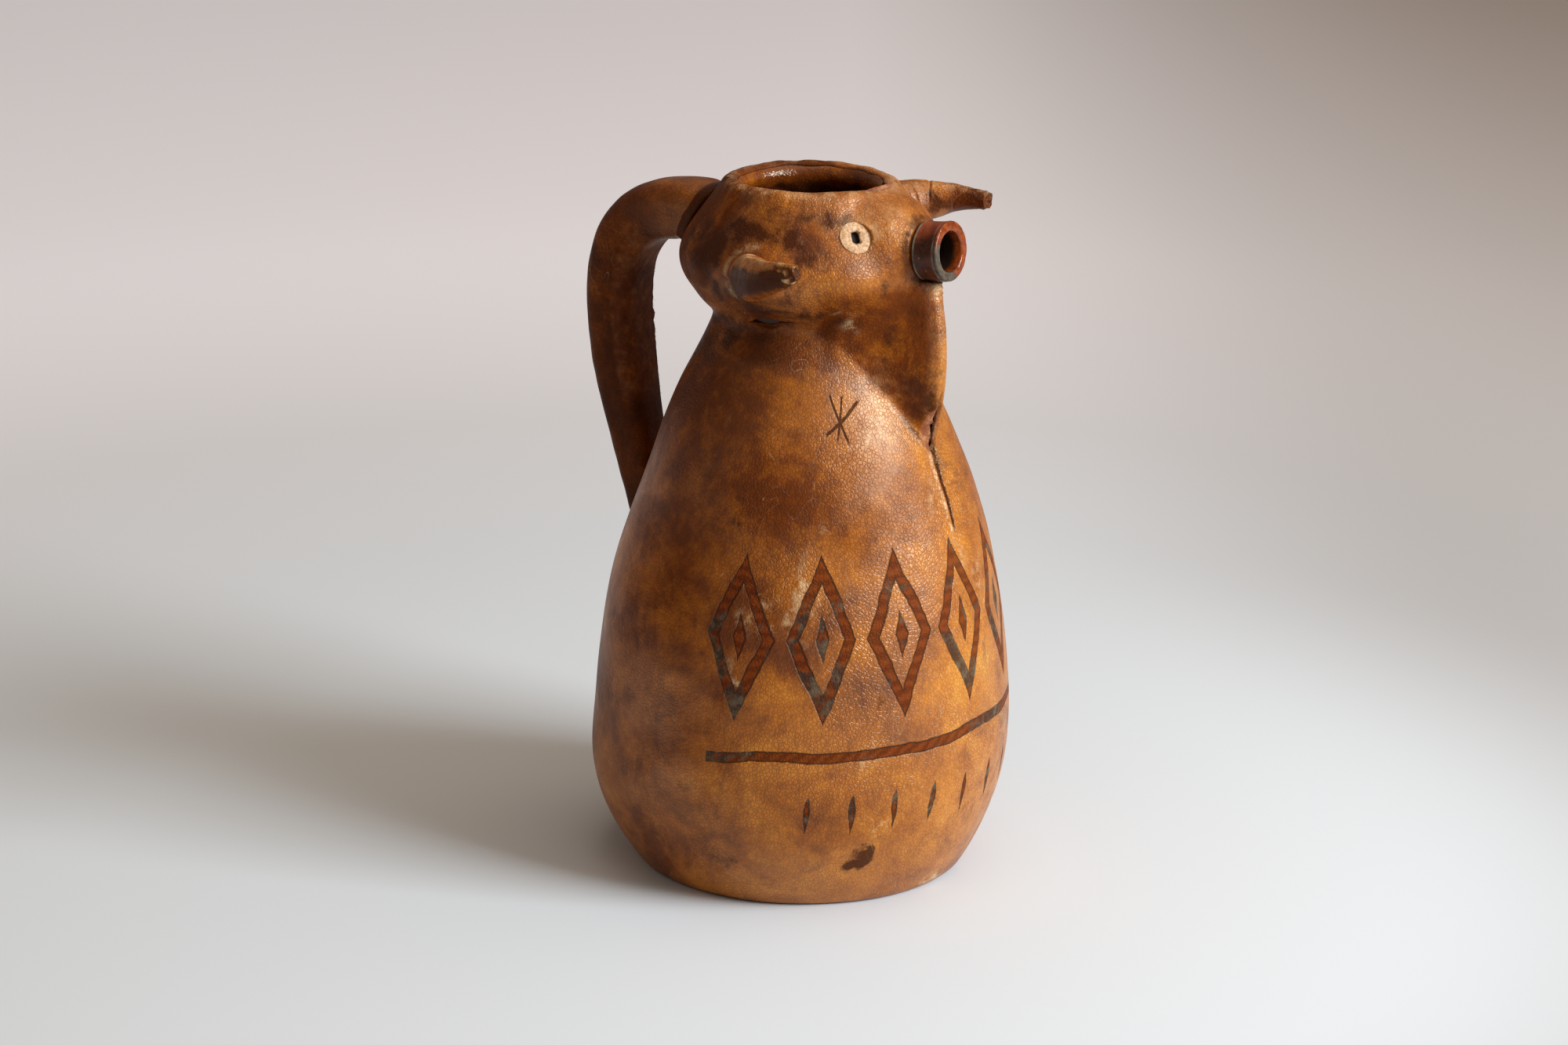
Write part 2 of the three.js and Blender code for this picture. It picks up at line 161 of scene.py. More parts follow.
class Finish:
    """A material on Object coordinates. Each call adds nodes and gives back a term."""

    def __init__(self, name, **constants):
        self.material = bpy.data.materials.new(name)
        self.material.use_nodes = True
        self.tree = self.material.node_tree
        self.shader = self.tree.nodes["Principled BSDF"]
        for socket, value in constants.items():
            self.shader.inputs[socket.replace("_", " ")].default_value = value
        self.place = wire(self.tree, "ShaderNodeTexCoord", output="Object")

    def drive(self, socket, term):
        self.tree.links.new(term.socket, self.shader.inputs[socket])

    def scaled(self, size, stretch=(1, 1, 1), shift=0.0):
        scale = [1 / (size * MM) / factor for factor in stretch]
        location = [shift * share for share in SHIFT_SHARES]
        inputs = {"Vector": self.place, "Scale": scale, "Location": location}
        return wire(self.tree, "ShaderNodeMapping", inputs)

    def cloud(self, size, detail=4.0, rough=0.55, twist=0.0, stretch=(1, 1, 1), shift=0.0):
        inputs = {"Vector": self.scaled(size, stretch, shift), "Scale": 1.0, "Detail": detail,
                  "Roughness": rough, "Distortion": twist}
        return wire(self.tree, "ShaderNodeTexNoise", inputs, "Fac")

    def wave(self, *texture, **more):
        """A cloud that swings about 0."""
        return self.cloud(*texture, **more) - 0.5

    def pebbles(self, size, feature="DISTANCE_TO_EDGE", shift=0.0):
        inputs = {"Vector": self.scaled(size, shift=shift), "Scale": 1.0}
        return wire(self.tree, "ShaderNodeTexVoronoi", inputs, "Distance", feature=feature)

    def step(self, value, low, high, start=0.0, end=1.0):
        inputs = {0: value, 1: low, 2: high, 3: start, 4: end}
        return wire(self.tree, "ShaderNodeMapRange", inputs, interpolation_type="SMOOTHSTEP")

    def tint(self, amount, below, above):
        return wire(self.tree, "ShaderNodeMix", {0: amount, 6: below, 7: above}, 2, data_type="RGBA")

    def ramp(self, value, *stops):
        node = put(self.tree, "ShaderNodeValToRGB", {0: value})
        elements = node.color_ramp.elements
        while len(elements) < len(stops):
            elements.new(0.5)
        for element, (position, colour) in zip(elements, stops):
            element.position = position
            element.color = (*colour, 1)
        return Term(node.outputs[0])

    def layer(self, name):
        return wire(self.tree, "ShaderNodeAttribute", output="Fac", attribute_name=name)

    def relief(self, height, depth, below=None):
        inputs = {"Height": height, "Distance": depth * MM, "Strength": 1.0}
        if below is not None:
            inputs["Normal"] = below
        return wire(self.tree, "ShaderNodeBump", inputs)


print("finish helper ready")

# %% [markdown]
# ## Floor and light
# The photograph was taken on pale paper, with one window at the right and a soft bounce from the room.
# A wide disc is enough for the paper, because the camera looks down. Its colour is painted darker with
# distance from the jug, and darker still far off at the right, as painted shade like that on the paper's
# curve behind it. Far off it also glows faintly, but only for rays from the camera and from shiny or clear
# surfaces, so the glow doesn't light the jug; the glow fades to dark at the right, also painted shade. The
# window is one large area lamp, and a wide weak one above stands for the ceiling.

# %% Floor and light
FLOOR_RADIUS = 9.0
FLOOR_SIDES = 96
JUG_MIDDLE = Vector((0, 0, 0.13))

paper = Finish("pale_paper", Roughness=0.9)
distance = wire(paper.tree, "ShaderNodeVectorMath", {0: paper.place}, "Value", operation="LENGTH")
to_right = {0: paper.place, 1: tuple(rightward)}
sideways = wire(paper.tree, "ShaderNodeVectorMath", to_right, "Value", operation="DOT_PRODUCT")
# The paper's colour is darker far from the jug: painted shade.
sheet = paper.ramp(
    paper.step(distance, 0.25, 1.3),
    (0.0, (0.70, 0.735, 0.76)), (0.3, (0.61, 0.605, 0.61)), (1.0, (0.54, 0.515, 0.51)))
# dusk darkens the paper far off at the right: painted shade.
dusk = paper.step(sideways, 0.05, 0.36) * paper.step(distance, 0.20, 0.45)
paper.drive("Base Color", paper.tint(dusk, sheet, (0.435, 0.42, 0.41, 1)))
# The glow fades to dark towards the right: painted shade.
glow = paper.ramp(
    paper.step(sideways, -0.5, 0.75),
    (0.0, (0.33, 0.315, 0.325)), (0.40, (0.34, 0.315, 0.32)), (1.0, (0.05, 0.02, 0.005)))
rays = put(paper.tree, "ShaderNodeLightPath").outputs
seen = most(Term(rays["Is Camera Ray"]), Term(rays["Is Glossy Ray"]))
seen = most(seen, Term(rays["Is Transmission Ray"]))
paper.drive("Emission Color", glow)
paper.drive("Emission Strength", paper.step(distance, 0.30, 1.1) * seen)

floor_turns = np.linspace(0, 2 * math.pi, FLOOR_SIDES + 1)[:-1]
floor_ring = [(FLOOR_RADIUS * math.cos(a), FLOOR_RADIUS * math.sin(a), 0) for a in floor_turns]
floor_mesh = bpy.data.meshes.new("paper_floor")
floor_mesh.from_pydata(floor_ring, [], [list(range(FLOOR_SIDES))])
floor_mesh.materials.append(paper.material)
floor = bpy.data.objects.new("paper_floor", floor_mesh)
scene.collection.objects.link(floor)


def add_lamp(name, direction, lamp_distance, width, height, power, colour):
    lamp = bpy.data.objects.new(name, bpy.data.lights.new(name, "AREA"))
    lamp.data.shape = "RECTANGLE"
    lamp.data.size = width
    lamp.data.size_y = height
    lamp.data.energy = power
    lamp.data.color = colour
    towards = Vector(direction).normalized()
    lamp.location = towards * lamp_distance + JUG_MIDDLE
    lamp.rotation_euler = towards.to_track_quat("Z", "Y").to_euler()
    scene.collection.objects.link(lamp)


add_lamp("window", (0.90, 0.12, 0.48), 2.0, 0.95, 1.05, 58, (0.87, 0.94, 1.0))
add_lamp("ceiling", (0.25, 0.1, 1.0), 2.2, 2.4, 2.4, 18.5, (1.0, 0.83, 0.68))
world = bpy.data.worlds.new("room")
world.use_nodes = True
background = world.node_tree.nodes["Background"].inputs
background["Color"].default_value = (1.0, 0.83, 0.69, 1)
background["Strength"].default_value = 0.23
scene.world = world
scene.view_settings.view_transform = "Standard"
print("floor, window and room light made")

# %% [markdown]
# ## The outline under the hide
# A thrown jug is drawn by one outline: belly, shoulder, nape and crown are four curves that meet
# upright, and the rim is the round end of the wall. Each point also keeps the direction that points
# out of the clay, so that the hide can be laid on at its own thickness.

# %% Outline
HIDE = 2.6
WALL = 4.7
GAP = 0.3
COVER = HIDE + GAP
JUG_FOOT = 2.9
BELLY = (77.7, 50.5)
NECK = (33.3, 214.9)
CROWN = (46.2, 238.1)
RIM = (31, 263.2)
RIM_LEAN = radians(32)
RIM_PULL = 9.4


def cubic(a, b, c, d, steps=120):
    t = np.linspace(0, 1, steps)[:, None]
    a, b, c, d = (np.array(point, float) for point in (a, b, c, d))
    return a * (1 - t) ** 3 + 3 * b * t * (1 - t) ** 2 + 3 * c * t ** 2 * (1 - t) + d * t ** 3


def unit(vectors):
    return vectors / np.linalg.norm(vectors, axis=-1)[..., None]


def row_at(where, marks, table):
    """The columns of a table at each place, read off between its marks."""
    return [np.interp(where, marks, column) for column in table.T]


def running_length(points):
    return np.concatenate([[0], np.cumsum(np.linalg.norm(np.diff(points, axis=0), axis=1))])


rim_handle = (RIM[0] + RIM_PULL * math.sin(RIM_LEAN), RIM[1] - RIM_PULL * math.cos(RIM_LEAN))
clay = np.concatenate([
    cubic((61.7, JUG_FOOT), (68.6, 12.6), (BELLY[0], 29.5), BELLY),
    cubic(BELLY, (BELLY[0], 147.4), (NECK[0], 202.4), NECK)[1:],
    cubic(NECK, (NECK[0], 222.5), (CROWN[0], 226.1), CROWN)[1:],
    cubic(CROWN, (CROWN[0], 244.1), rim_handle, RIM)[1:],
])
along_clay = unit(np.gradient(clay, axis=0))
clay_out = np.stack([along_clay[:, 1], -along_clay[:, 0]], axis=1)
leather = clay + COVER * clay_out


def leather_radius(height):
    return np.interp(height, leather[:, 1], leather[:, 0])


def clay_place(height):
    point = np.array(row_at(height, clay[:, 1], clay))
    return point, unit(np.array(row_at(height, clay[:, 1], clay_out)))


print("outline of", len(clay), "points, widest", clay[:, 0].max())

# %% [markdown]
# ## Shaping tools
# Hide isn't turned on a wheel, so the plain outline needs soft unevenness and folds. These functions
# work on whole arrays at once: an easing step, a bell-shaped hump, a maximum with a rounded corner for
# folds that grow out of a surface, a smooth ripple with a fixed seed, and the strongest of some layers.

# %% Shaping tools
SEED_STEP = 13.7


def ease(low, high, value):
    share = np.clip((value - low) / (high - low), 0, 1)
    return share * share * (3 - 2 * share)


def hump(value, middle, half):
    return np.exp(-((value - middle) / half) ** 2)


def rounded_max(first, second, blend):
    share = np.clip(0.5 + 0.5 * (first - second) / blend, 0, 1)
    return second + (first - second) * share + blend * share * (1 - share)


def ripple(points, size, seed):
    flat = (np.asarray(points, float).reshape(-1, 3) / size + seed * SEED_STEP).tolist()
    return np.array([noise.noise(point) for point in flat]).reshape(np.shape(points)[:-1])


def turned(radius, angle, height):
    return np.stack([radius * np.cos(angle), radius * np.sin(angle), height + 0 * angle], axis=-1)


def ring_ripple(radius, angle, size, seed, level=0.0):
    """A ripple that runs round the axis. It changes upwards only as far as the level does."""
    return ripple(turned(np.full_like(angle, radius), angle, level), size, seed)


def signed(angle):
    return (angle + np.pi) % (2 * np.pi) - np.pi


def facing(grid):
    normal = np.cross(np.gradient(grid, axis=1), np.gradient(grid, axis=0))
    return normal / np.maximum(np.linalg.norm(normal, axis=-1), 1e-9)[..., None]


def strongest(*layers):
    return np.maximum.reduce(np.broadcast_arrays(*layers))


print("shaping tools ready")

# %% [markdown]
# ## From grids to closed leather
# A piece of hide has a good side, a flesh side and cut edges. It is made as a fine grid for the side
# that shows and a coarse grid behind it, joined round the edges, so the mesh is closed and thick like
# the real thing but spends its faces where they are seen. Values such as stain or wear ride along on
# the vertices and later steer the material.

# %% Make a piece
COARSE = 4
EDGE_CURVE = 2.2
LAYERS = ("stain_and_shade", "tan", "pale", "raw")


def make_piece(name, points, faces, material, layers=None, sharp=()):
    used = np.unique(np.concatenate([np.asarray(face) for face in faces]))
    renumber = np.full(len(points), -1)
    renumber[used] = np.arange(len(used))
    order = renumber.tolist()
    mesh = bpy.data.meshes.new(name)
    mesh.from_pydata((points[used] * MM).tolist(), [], [[order[i] for i in face] for face in faces])
    for layer, values in (layers or {}).items():
        stored = mesh.attributes.new(layer, "FLOAT", "POINT")
        stored.data.foreach_set("value", values[used].astype(np.float32))
    mesh.polygons.foreach_set("use_smooth", [True] * len(mesh.polygons))
    if len(sharp):
        rim = np.zeros(len(points), bool)
        rim[sharp] = True
        ends = np.empty(2 * len(mesh.edges), int)
        mesh.edges.foreach_get("vertices", ends)
        both = rim[used][ends.reshape(-1, 2)].all(axis=1)
        mesh.attributes.new("sharp_edge", "BOOLEAN", "EDGE").data.foreach_set("value", both)
    mesh.materials.append(material)
    mesh.update()
    piece = bpy.data.objects.new(name, mesh)
    scene.collection.objects.link(piece)
    solid = bmesh.new()
    solid.from_mesh(mesh)
    volume = round(solid.calc_volume(signed=True) * 1e6, 2)
    print(name, len(mesh.polygons), "faces,", volume, "cubic centimetres")
    solid.free()
    return piece


print("pieces carry the layers", LAYERS)

# %% [markdown]
# The shell itself needs three steps: number the points of both grids, make faces of the numbers, and join
# the two grids along every edge that is open. A seam may be closed for some rows and open for others.

# %% Leather shell
def numbered(rows, columns, start, seam):
    """Point numbers of a grid whose last column is its first one, except between the two seam rows."""
    ids = start + np.arange(rows * columns).reshape(rows, columns)
    row = np.arange(rows)
    joined = (row <= seam[0]) | (row >= seam[1])
    ids[joined, -1] = ids[joined, 0]
    return ids


def quads(ids, inward=False):
    corners = [ids[:-1, :-1], ids[:-1, 1:], ids[1:, 1:], ids[1:, :-1]]
    if inward:
        corners = corners[::-1]
    return np.stack(corners, axis=-1).reshape(-1, 4).tolist()


def leather_shell(name, shown, hidden, material, layers, seam):
    """Closes a fine grid and a coarse one behind it into one sheet with cut edges."""
    rows = shown.shape[0]
    fine = numbered(*shown.shape[:2], 0, seam)
    back = numbered(*hidden.shape[:2], shown[..., 0].size, (seam[0] // COARSE, seam[1] // COARSE))
    faces = quads(fine) + quads(back, inward=True)
    for b in range(back.shape[1] - 1):
        span = slice(COARSE * b, COARSE * (b + 1) + 1)
        faces.append(fine[0, span][::-1].tolist() + [back[0, b], back[0, b + 1]])
        faces.append(fine[-1, span].tolist() + [back[-1, b + 1], back[-1, b]])
    for a in range(max(seam[0], 0) // COARSE, min(seam[1], rows - 1) // COARSE):
        span = slice(COARSE * a, COARSE * (a + 1) + 1)
        faces.append(fine[span, 0].tolist() + [back[a + 1, 0], back[a, 0]])
        faces.append(fine[span, -1][::-1].tolist() + [back[a, -1], back[a + 1, -1]])
    points = np.concatenate([shown.reshape(-1, 3), hidden.reshape(-1, 3)])
    values = {}
    for layer in LAYERS:
        front = np.broadcast_to(layers.get(layer, 0.0), shown.shape[:2]).ravel()
        behind = np.full(hidden[..., 0].size, float(layer == "raw"))
        values[layer] = np.concatenate([front, behind])
    open_rows = slice(max(seam[0], 0), min(seam[1], rows - 1) + 1)
    rim = np.concatenate([fine[0], fine[-1], fine[open_rows, 0], fine[open_rows, -1]])
    return make_piece(name, points, faces, material, values, rim)


def thick(skin, edge, edge_depth=HIDE, back_depth=HIDE):
    """The good side with its edges turned down, the flesh side behind it, and the outward directions."""
    out = facing(skin)
    return skin - edge_depth * edge[..., None] * out, (skin - back_depth * out)[::COARSE, ::COARSE], out


def cut_edge(distance, reach=1.3):
    return (1 - np.clip(distance / reach, 0, 1)) ** EDGE_CURVE


def spaced_rows(count, length, edge=(0.0, 0.15, 0.5, 1.0, 1.7)):
    inner = np.linspace(edge[-1], length - edge[-1], count + 1 - 2 * (len(edge) - 1))
    return np.concatenate([edge[:-1], inner, length - np.array(edge[:-1])[::-1]]) / length


print("leather shell ready")

# %% [markdown]
# ## Where the hide is joined, folded and pinched
# Two sheets meet at a crease round the neck, which rises a little towards the front. Under the snout
# the lower sheet is pinched into a dewlap: seen from above it is a wedge with a rounded nose, and the
# nose follows one curve from the snout down to the chest. A polar formula for the wedge lets the fold
# grow out of the round body by a rounded maximum.

# %% Folds
KEEL_ROOT = 12.0
KEEL_HALF_WIDTH = 34.5
KEEL_NOSE = 4.2
KEEL_FOOT = 169.9
KEEL_BULGE = 7.5
NECK_HEIGHT = 217.9
NECK_SLOPE = math.tan(radians(6))
SLIT_ANGLE = radians(-80)
THROAT = np.array([56.7, 235.7])
chest = np.array([leather_radius(KEEL_FOOT), KEEL_FOOT])
keel_t = np.linspace(0, 1, 60)[:, None]
keel_middle = (chest + THROAT) / 2 + np.array([KEEL_BULGE, 0])
keel = chest * (1 - keel_t) ** 2 + 2 * keel_middle * keel_t * (1 - keel_t) + THROAT * keel_t ** 2


def dewlap_radius(angle, height):
    reach = np.interp(height, keel[:, 1], keel[:, 0])
    reach = np.where(height < KEEL_FOOT, leather_radius(height) - 0.3 * (KEEL_FOOT - height), reach)
    flank = np.arctan2(KEEL_HALF_WIDTH, reach - KEEL_ROOT)
    tip = reach + KEEL_NOSE * (1 / np.sin(flank) - 1)
    swing = np.minimum(np.abs(angle), 1.4)
    side = KEEL_HALF_WIDTH * tip / (np.sin(swing) * (tip - KEEL_ROOT) + KEEL_HALF_WIDTH * np.cos(swing))
    middle = reach - KEEL_NOSE
    nose = middle * np.cos(swing) + np.sqrt(np.maximum(KEEL_NOSE ** 2 - (middle * np.sin(swing)) ** 2, 0))
    touch = np.arctan2(KEEL_NOSE * np.cos(flank), middle + KEEL_NOSE * np.sin(flank))
    return np.where(swing < touch, nose, side)


def with_dewlap(plain, angle, height):
    fold = dewlap_radius(angle, np.minimum(height, THROAT[1])) - 30 * ease(0.7, 1.3, np.abs(angle))
    blend = 3 + 2 * ease(178, 200, height) + 9 * ease(204, 222, height)
    return rounded_max(plain, fold, blend)


def body_radius(angle, height):
    return with_dewlap(leather_radius(height), angle, height)


def neck_joint(angle):
    front = body_radius(angle, np.full_like(angle, 218.0))
    rise = 4.5 * ease(radians(24), radians(5), np.abs(angle))
    return NECK_HEIGHT + front * np.cos(angle) * NECK_SLOPE + rise


print("keel reaches", round(keel[:, 0].max(), 1), "mm, joint at the front", neck_joint(np.zeros(1))[0])

# %% [markdown]
# The crease at the neck isn't the same all round. At the front the two sheets run into each other, on
# the near side a slit stands open with small folds beside it, and elsewhere the edges are rubbed flush.

# %% Neck crease
def parted(angle):
    """0 at the front, where the two sheets run into each other, and 1 where they are creased apart."""
    return ease(radians(24), radians(46), np.abs(angle))


def loose_edge(angle):
    """1 where the two edges at the neck stand apart, and nearly 0 where they are rubbed down flush."""
    return 0.02 + 0.98 * parted(angle) * ease(radians(19), radians(8), np.abs(angle - SLIT_ANGLE))


def neck_slit(angle):
    return np.clip(1 - ((angle - SLIT_ANGLE) / radians(11)) ** 2, 0, None)


def crease_depth(angle):
    uneven = 1.0 + 0.45 * ring_ripple(40.0, angle, 14, 3)
    return parted(angle) * (0.2 + 0.8 * loose_edge(angle)) * uneven


def pleats(angle, level):
    """Small upright folds that gather at the slit in the neck."""
    gathered = ripple(np.stack([angle * 11, level, 0 * level], axis=-1), 2.6, 4)
    return gathered * parted(angle) * hump(angle, SLIT_ANGLE, radians(32))


print("crease at the side", crease_depth(np.array([radians(-90)])).round(2), "mm deep")

# %% [markdown]
# ## Burnt marks
# The marks were drawn with a hot tool: a band of lozenges, a long stripe, a row of ticks and a small
# star. They lie on a round surface, so the material works out the angle round the axis and the height,
# and measures how deep each place lies inside the nearest bar. A formula stays sharp at any distance,
# and one lozenge folded about its middle lines gives the whole band.

# %% Mark sizes
BAR_HALF = 2.15
BAND_HEIGHT = 109.5
BAND_SIZE = 72
BAND_ROW = (-75, 23.5, 7)
LOZENGE = (10.6, 25.5)
KERNEL = (2.6, 9.0)
STRIPE_REACH = 95
STRIPE_LOW = 55
STRIPE_SPAN = 20
STRIPE_MIDDLE = radians(4.5)
STRIPE_HALF = radians(87.5)
STRIPE = (
    (-95, 62), (-83, 63), (-61, 65.5), (-38, 65.5), (-16, 66.2), (-3, 68.3), (12, 69), (40, 68), (95, 63))
STRIPE_SIZE = 78
BELLY_SIZE = 77
TICK_ROW = (-55.3, 12.15, 10)
TICK_HEIGHT = 42.5
TICK_HALF_HEIGHT = 8.2
TICK_HALF_WIDTH = 1.15
STAR_HEIGHT = 188.5
STAR = (
    (-46.3, 194.6, -39.6, 178.7, 0.38), (-40.6, 194.3, -44.2, 179.1, 0.34),
    (-32.6, 192.7, -48.9, 181.1, 0.5))
BELOW_BAND = 75.0
BELOW_STAR = 150.0
print("stripe through", len(STRIPE), "points, star of", len(STAR), "strokes")

# %% [markdown]
# Three shapes are drawn: a lozenge, a line that a curve node bends through given points, and a star of
# tapered strokes. Heights are in millimetres, and an angle times a size is a length round the belly.

# %% Mark shapes
def lozenge(u, v, half_width, half_height):
    """Distance to the outline of a lozenge, below 0 inside it."""
    size = math.hypot(half_width, half_height)
    return u * (half_height / size) + v * (half_width / size) - half_width * half_height / size


def stripe_height(tree, turn):
    """The height of the stripe's middle at each angle."""
    reach = radians(STRIPE_REACH)
    share = wire(tree, "ShaderNodeMapRange", {0: turn, 1: -reach, 2: reach})
    curve = put(tree, "ShaderNodeFloatCurve", {"Value": share})
    points = curve.mapping.curves[0].points
    while len(points) < len(STRIPE):
        points.new(0.5, 0.5)
    for point, (angle, height) in zip(points, STRIPE):
        point.location = ((angle + STRIPE_REACH) / (2 * STRIPE_REACH), (height - STRIPE_LOW) / STRIPE_SPAN)
    curve.mapping.update()
    return Term(curve.outputs[0]) * STRIPE_SPAN + STRIPE_LOW


def star_depth(turn, level):
    """How deep a place lies inside the strokes of the star."""
    size = float(leather_radius(STAR_HEIGHT))
    strokes = []
    for first_angle, first_height, last_angle, last_height, half in STAR:
        start = radians(first_angle) * size
        run = np.array([radians(last_angle) * size - start, last_height - first_height])
        length = float(np.hypot(*run))
        dx, dz = (run / length).tolist()
        du, dv = turn * size - start, level - first_height
        travel = du * dx + dv * dz
        across = du * dz - dv * dx
        strokes.append(least(half - abs(across), least(travel, length - travel) * 0.3))
    return reduce(most, strokes)


print("lozenge, stripe and star can be drawn")

# %% [markdown]
# A place is burnt where its depth is above 0, so marks are joined by the larger depth and cut off by the
# smaller one. A slow wobble makes every edge look drawn by hand.

# %% Burnt marks
def burnt_marks(finish):
    """How deep a place lies inside a burnt bar, a running length along the bars, and 1 below the star."""
    x, y, z = parts(finish.tree, finish.place)
    turn = reckon("ARCTAN2", y, x)

    def wobble(size, reach, shift):
        return finish.wave(size, 2, shift=shift) * reach

    def row_of(first, step_angle, count, size):
        """Distance to the nearest mark of a row round the jug, and how far inside the row a place is."""
        across = turn * size
        width = radians(step_angle) * size
        start = radians(first) * size
        local = reckon("WRAP", across - start, width / 2, -width / 2)
        inside = width * count / 2 - abs(across - (start + width * (count - 1) / 2))
        return local + wobble(23, 3.4, 47.0), inside

    level = z / MM + wobble(31, 4.0, 41.0)
    u, band = row_of(*BAND_ROW, BAND_SIZE)
    u, v = abs(u), abs(level - BAND_HEIGHT)
    outline = BAR_HALF - abs(lozenge(u, v, *LOZENGE))
    kernel = lozenge(u, v, *KERNEL) * -1.0
    depth = least(most(outline, kernel), band)

    stripe_inside = BAR_HALF - abs(level - stripe_height(finish.tree, turn))
    stripe_ends = (STRIPE_HALF - abs(turn - STRIPE_MIDDLE)) * STRIPE_SIZE
    depth = most(depth, least(stripe_inside, stripe_ends))

    u, ticks = row_of(*TICK_ROW, BELLY_SIZE)
    rise = level - TICK_HEIGHT
    taper = TICK_HALF_WIDTH - TICK_HALF_WIDTH * (rise / TICK_HALF_HEIGHT) ** 2.0
    wedge = most(0.07 * rise + 1.0, 0.2)
    tick = taper * wedge - abs(u - 0.10 * rise)
    depth = most(depth, least(tick, ticks))

    depth = most(depth, star_depth(turn, level))
    depth = depth + wobble(2.6, 0.8, 53.0)
    along = turn * BELLY_SIZE * (level < BELOW_BAND) + v * 1.1
    return depth, along, level < BELOW_STAR


print("marks ready to burn")

# %% [markdown]
# The hot tool left bars of dark red brown with a blacker edge and faint rungs across, where it was set
# down again and again. Some of them below the star are charred grey.

# %% Burnt colour
BAR_EDGE_TINT = (0.035, 0.012, 0.006, 1)
RUNG_LENGTH = 5.2


def burnt_bars(hide, patch, fleck):
    """How far the hide is burnt, from 0 to 1, and its colour there."""
    depth, along, sooty = burnt_marks(hide)
    rung = reckon("SINE", along * (2 * math.pi / RUNG_LENGTH) + 16.0 * patch)
    core = hide.tint(hide.step(rung, -1.0, 1.2), (0.105, 0.018, 0.003, 1), (0.18, 0.034, 0.005, 1))
    core = hide.tint(hide.step(depth, 0.2, 0.95), BAR_EDGE_TINT, core)
    soot = hide.step(hide.cloud(19, 4, 0.6, 0.3, shift=23.0), 0.51, 0.58, 0.0, 0.88)
    char = hide.tint(hide.step(fleck, 0.4, 0.65), (0.028, 0.020, 0.015, 1), (0.105, 0.095, 0.065, 1))
    return hide.step(depth, -0.25, 0.25), hide.tint(soot * sooty, core, char)


print("bars have an edge of", BAR_EDGE_TINT[:3])

# %% [markdown]
# ## The hide's finish
# Old vegetable-tanned hide is amber where it is rubbed, brown where it was handled and nearly black in
# its folds. Clouds of several sizes give that mottling, and a cell pattern gives the pebbled grain, whose
# valleys are painted darker as painted shade. The stored layers add stains together with painted shade
# in creases, grooves, joints and hollows, a tan that is patina and painted shade on the side away from the
# window, rubbed places and painted light where the tan is below 0, pale scuffs together with painted
# highlights, and the fibrous colour of cut edges. One of the four finishes also carries the burnt marks.

# %% Hide finish
# One dark colour serves stains and painted shade, one pale colour scuffs and painted highlights.
SMOKE_TINT = (0.11, 0.024, 0.0035, 1)
STAIN_AND_SHADE_TINT = (0.052, 0.0115, 0.0036, 1)
# Painted shade in the valleys of the grain.
VALLEY_TINT = (0.06, 0.018, 0.006, 1)
SCUFF_AND_HIGHLIGHT_TINT = (0.72, 0.50, 0.27, 1)


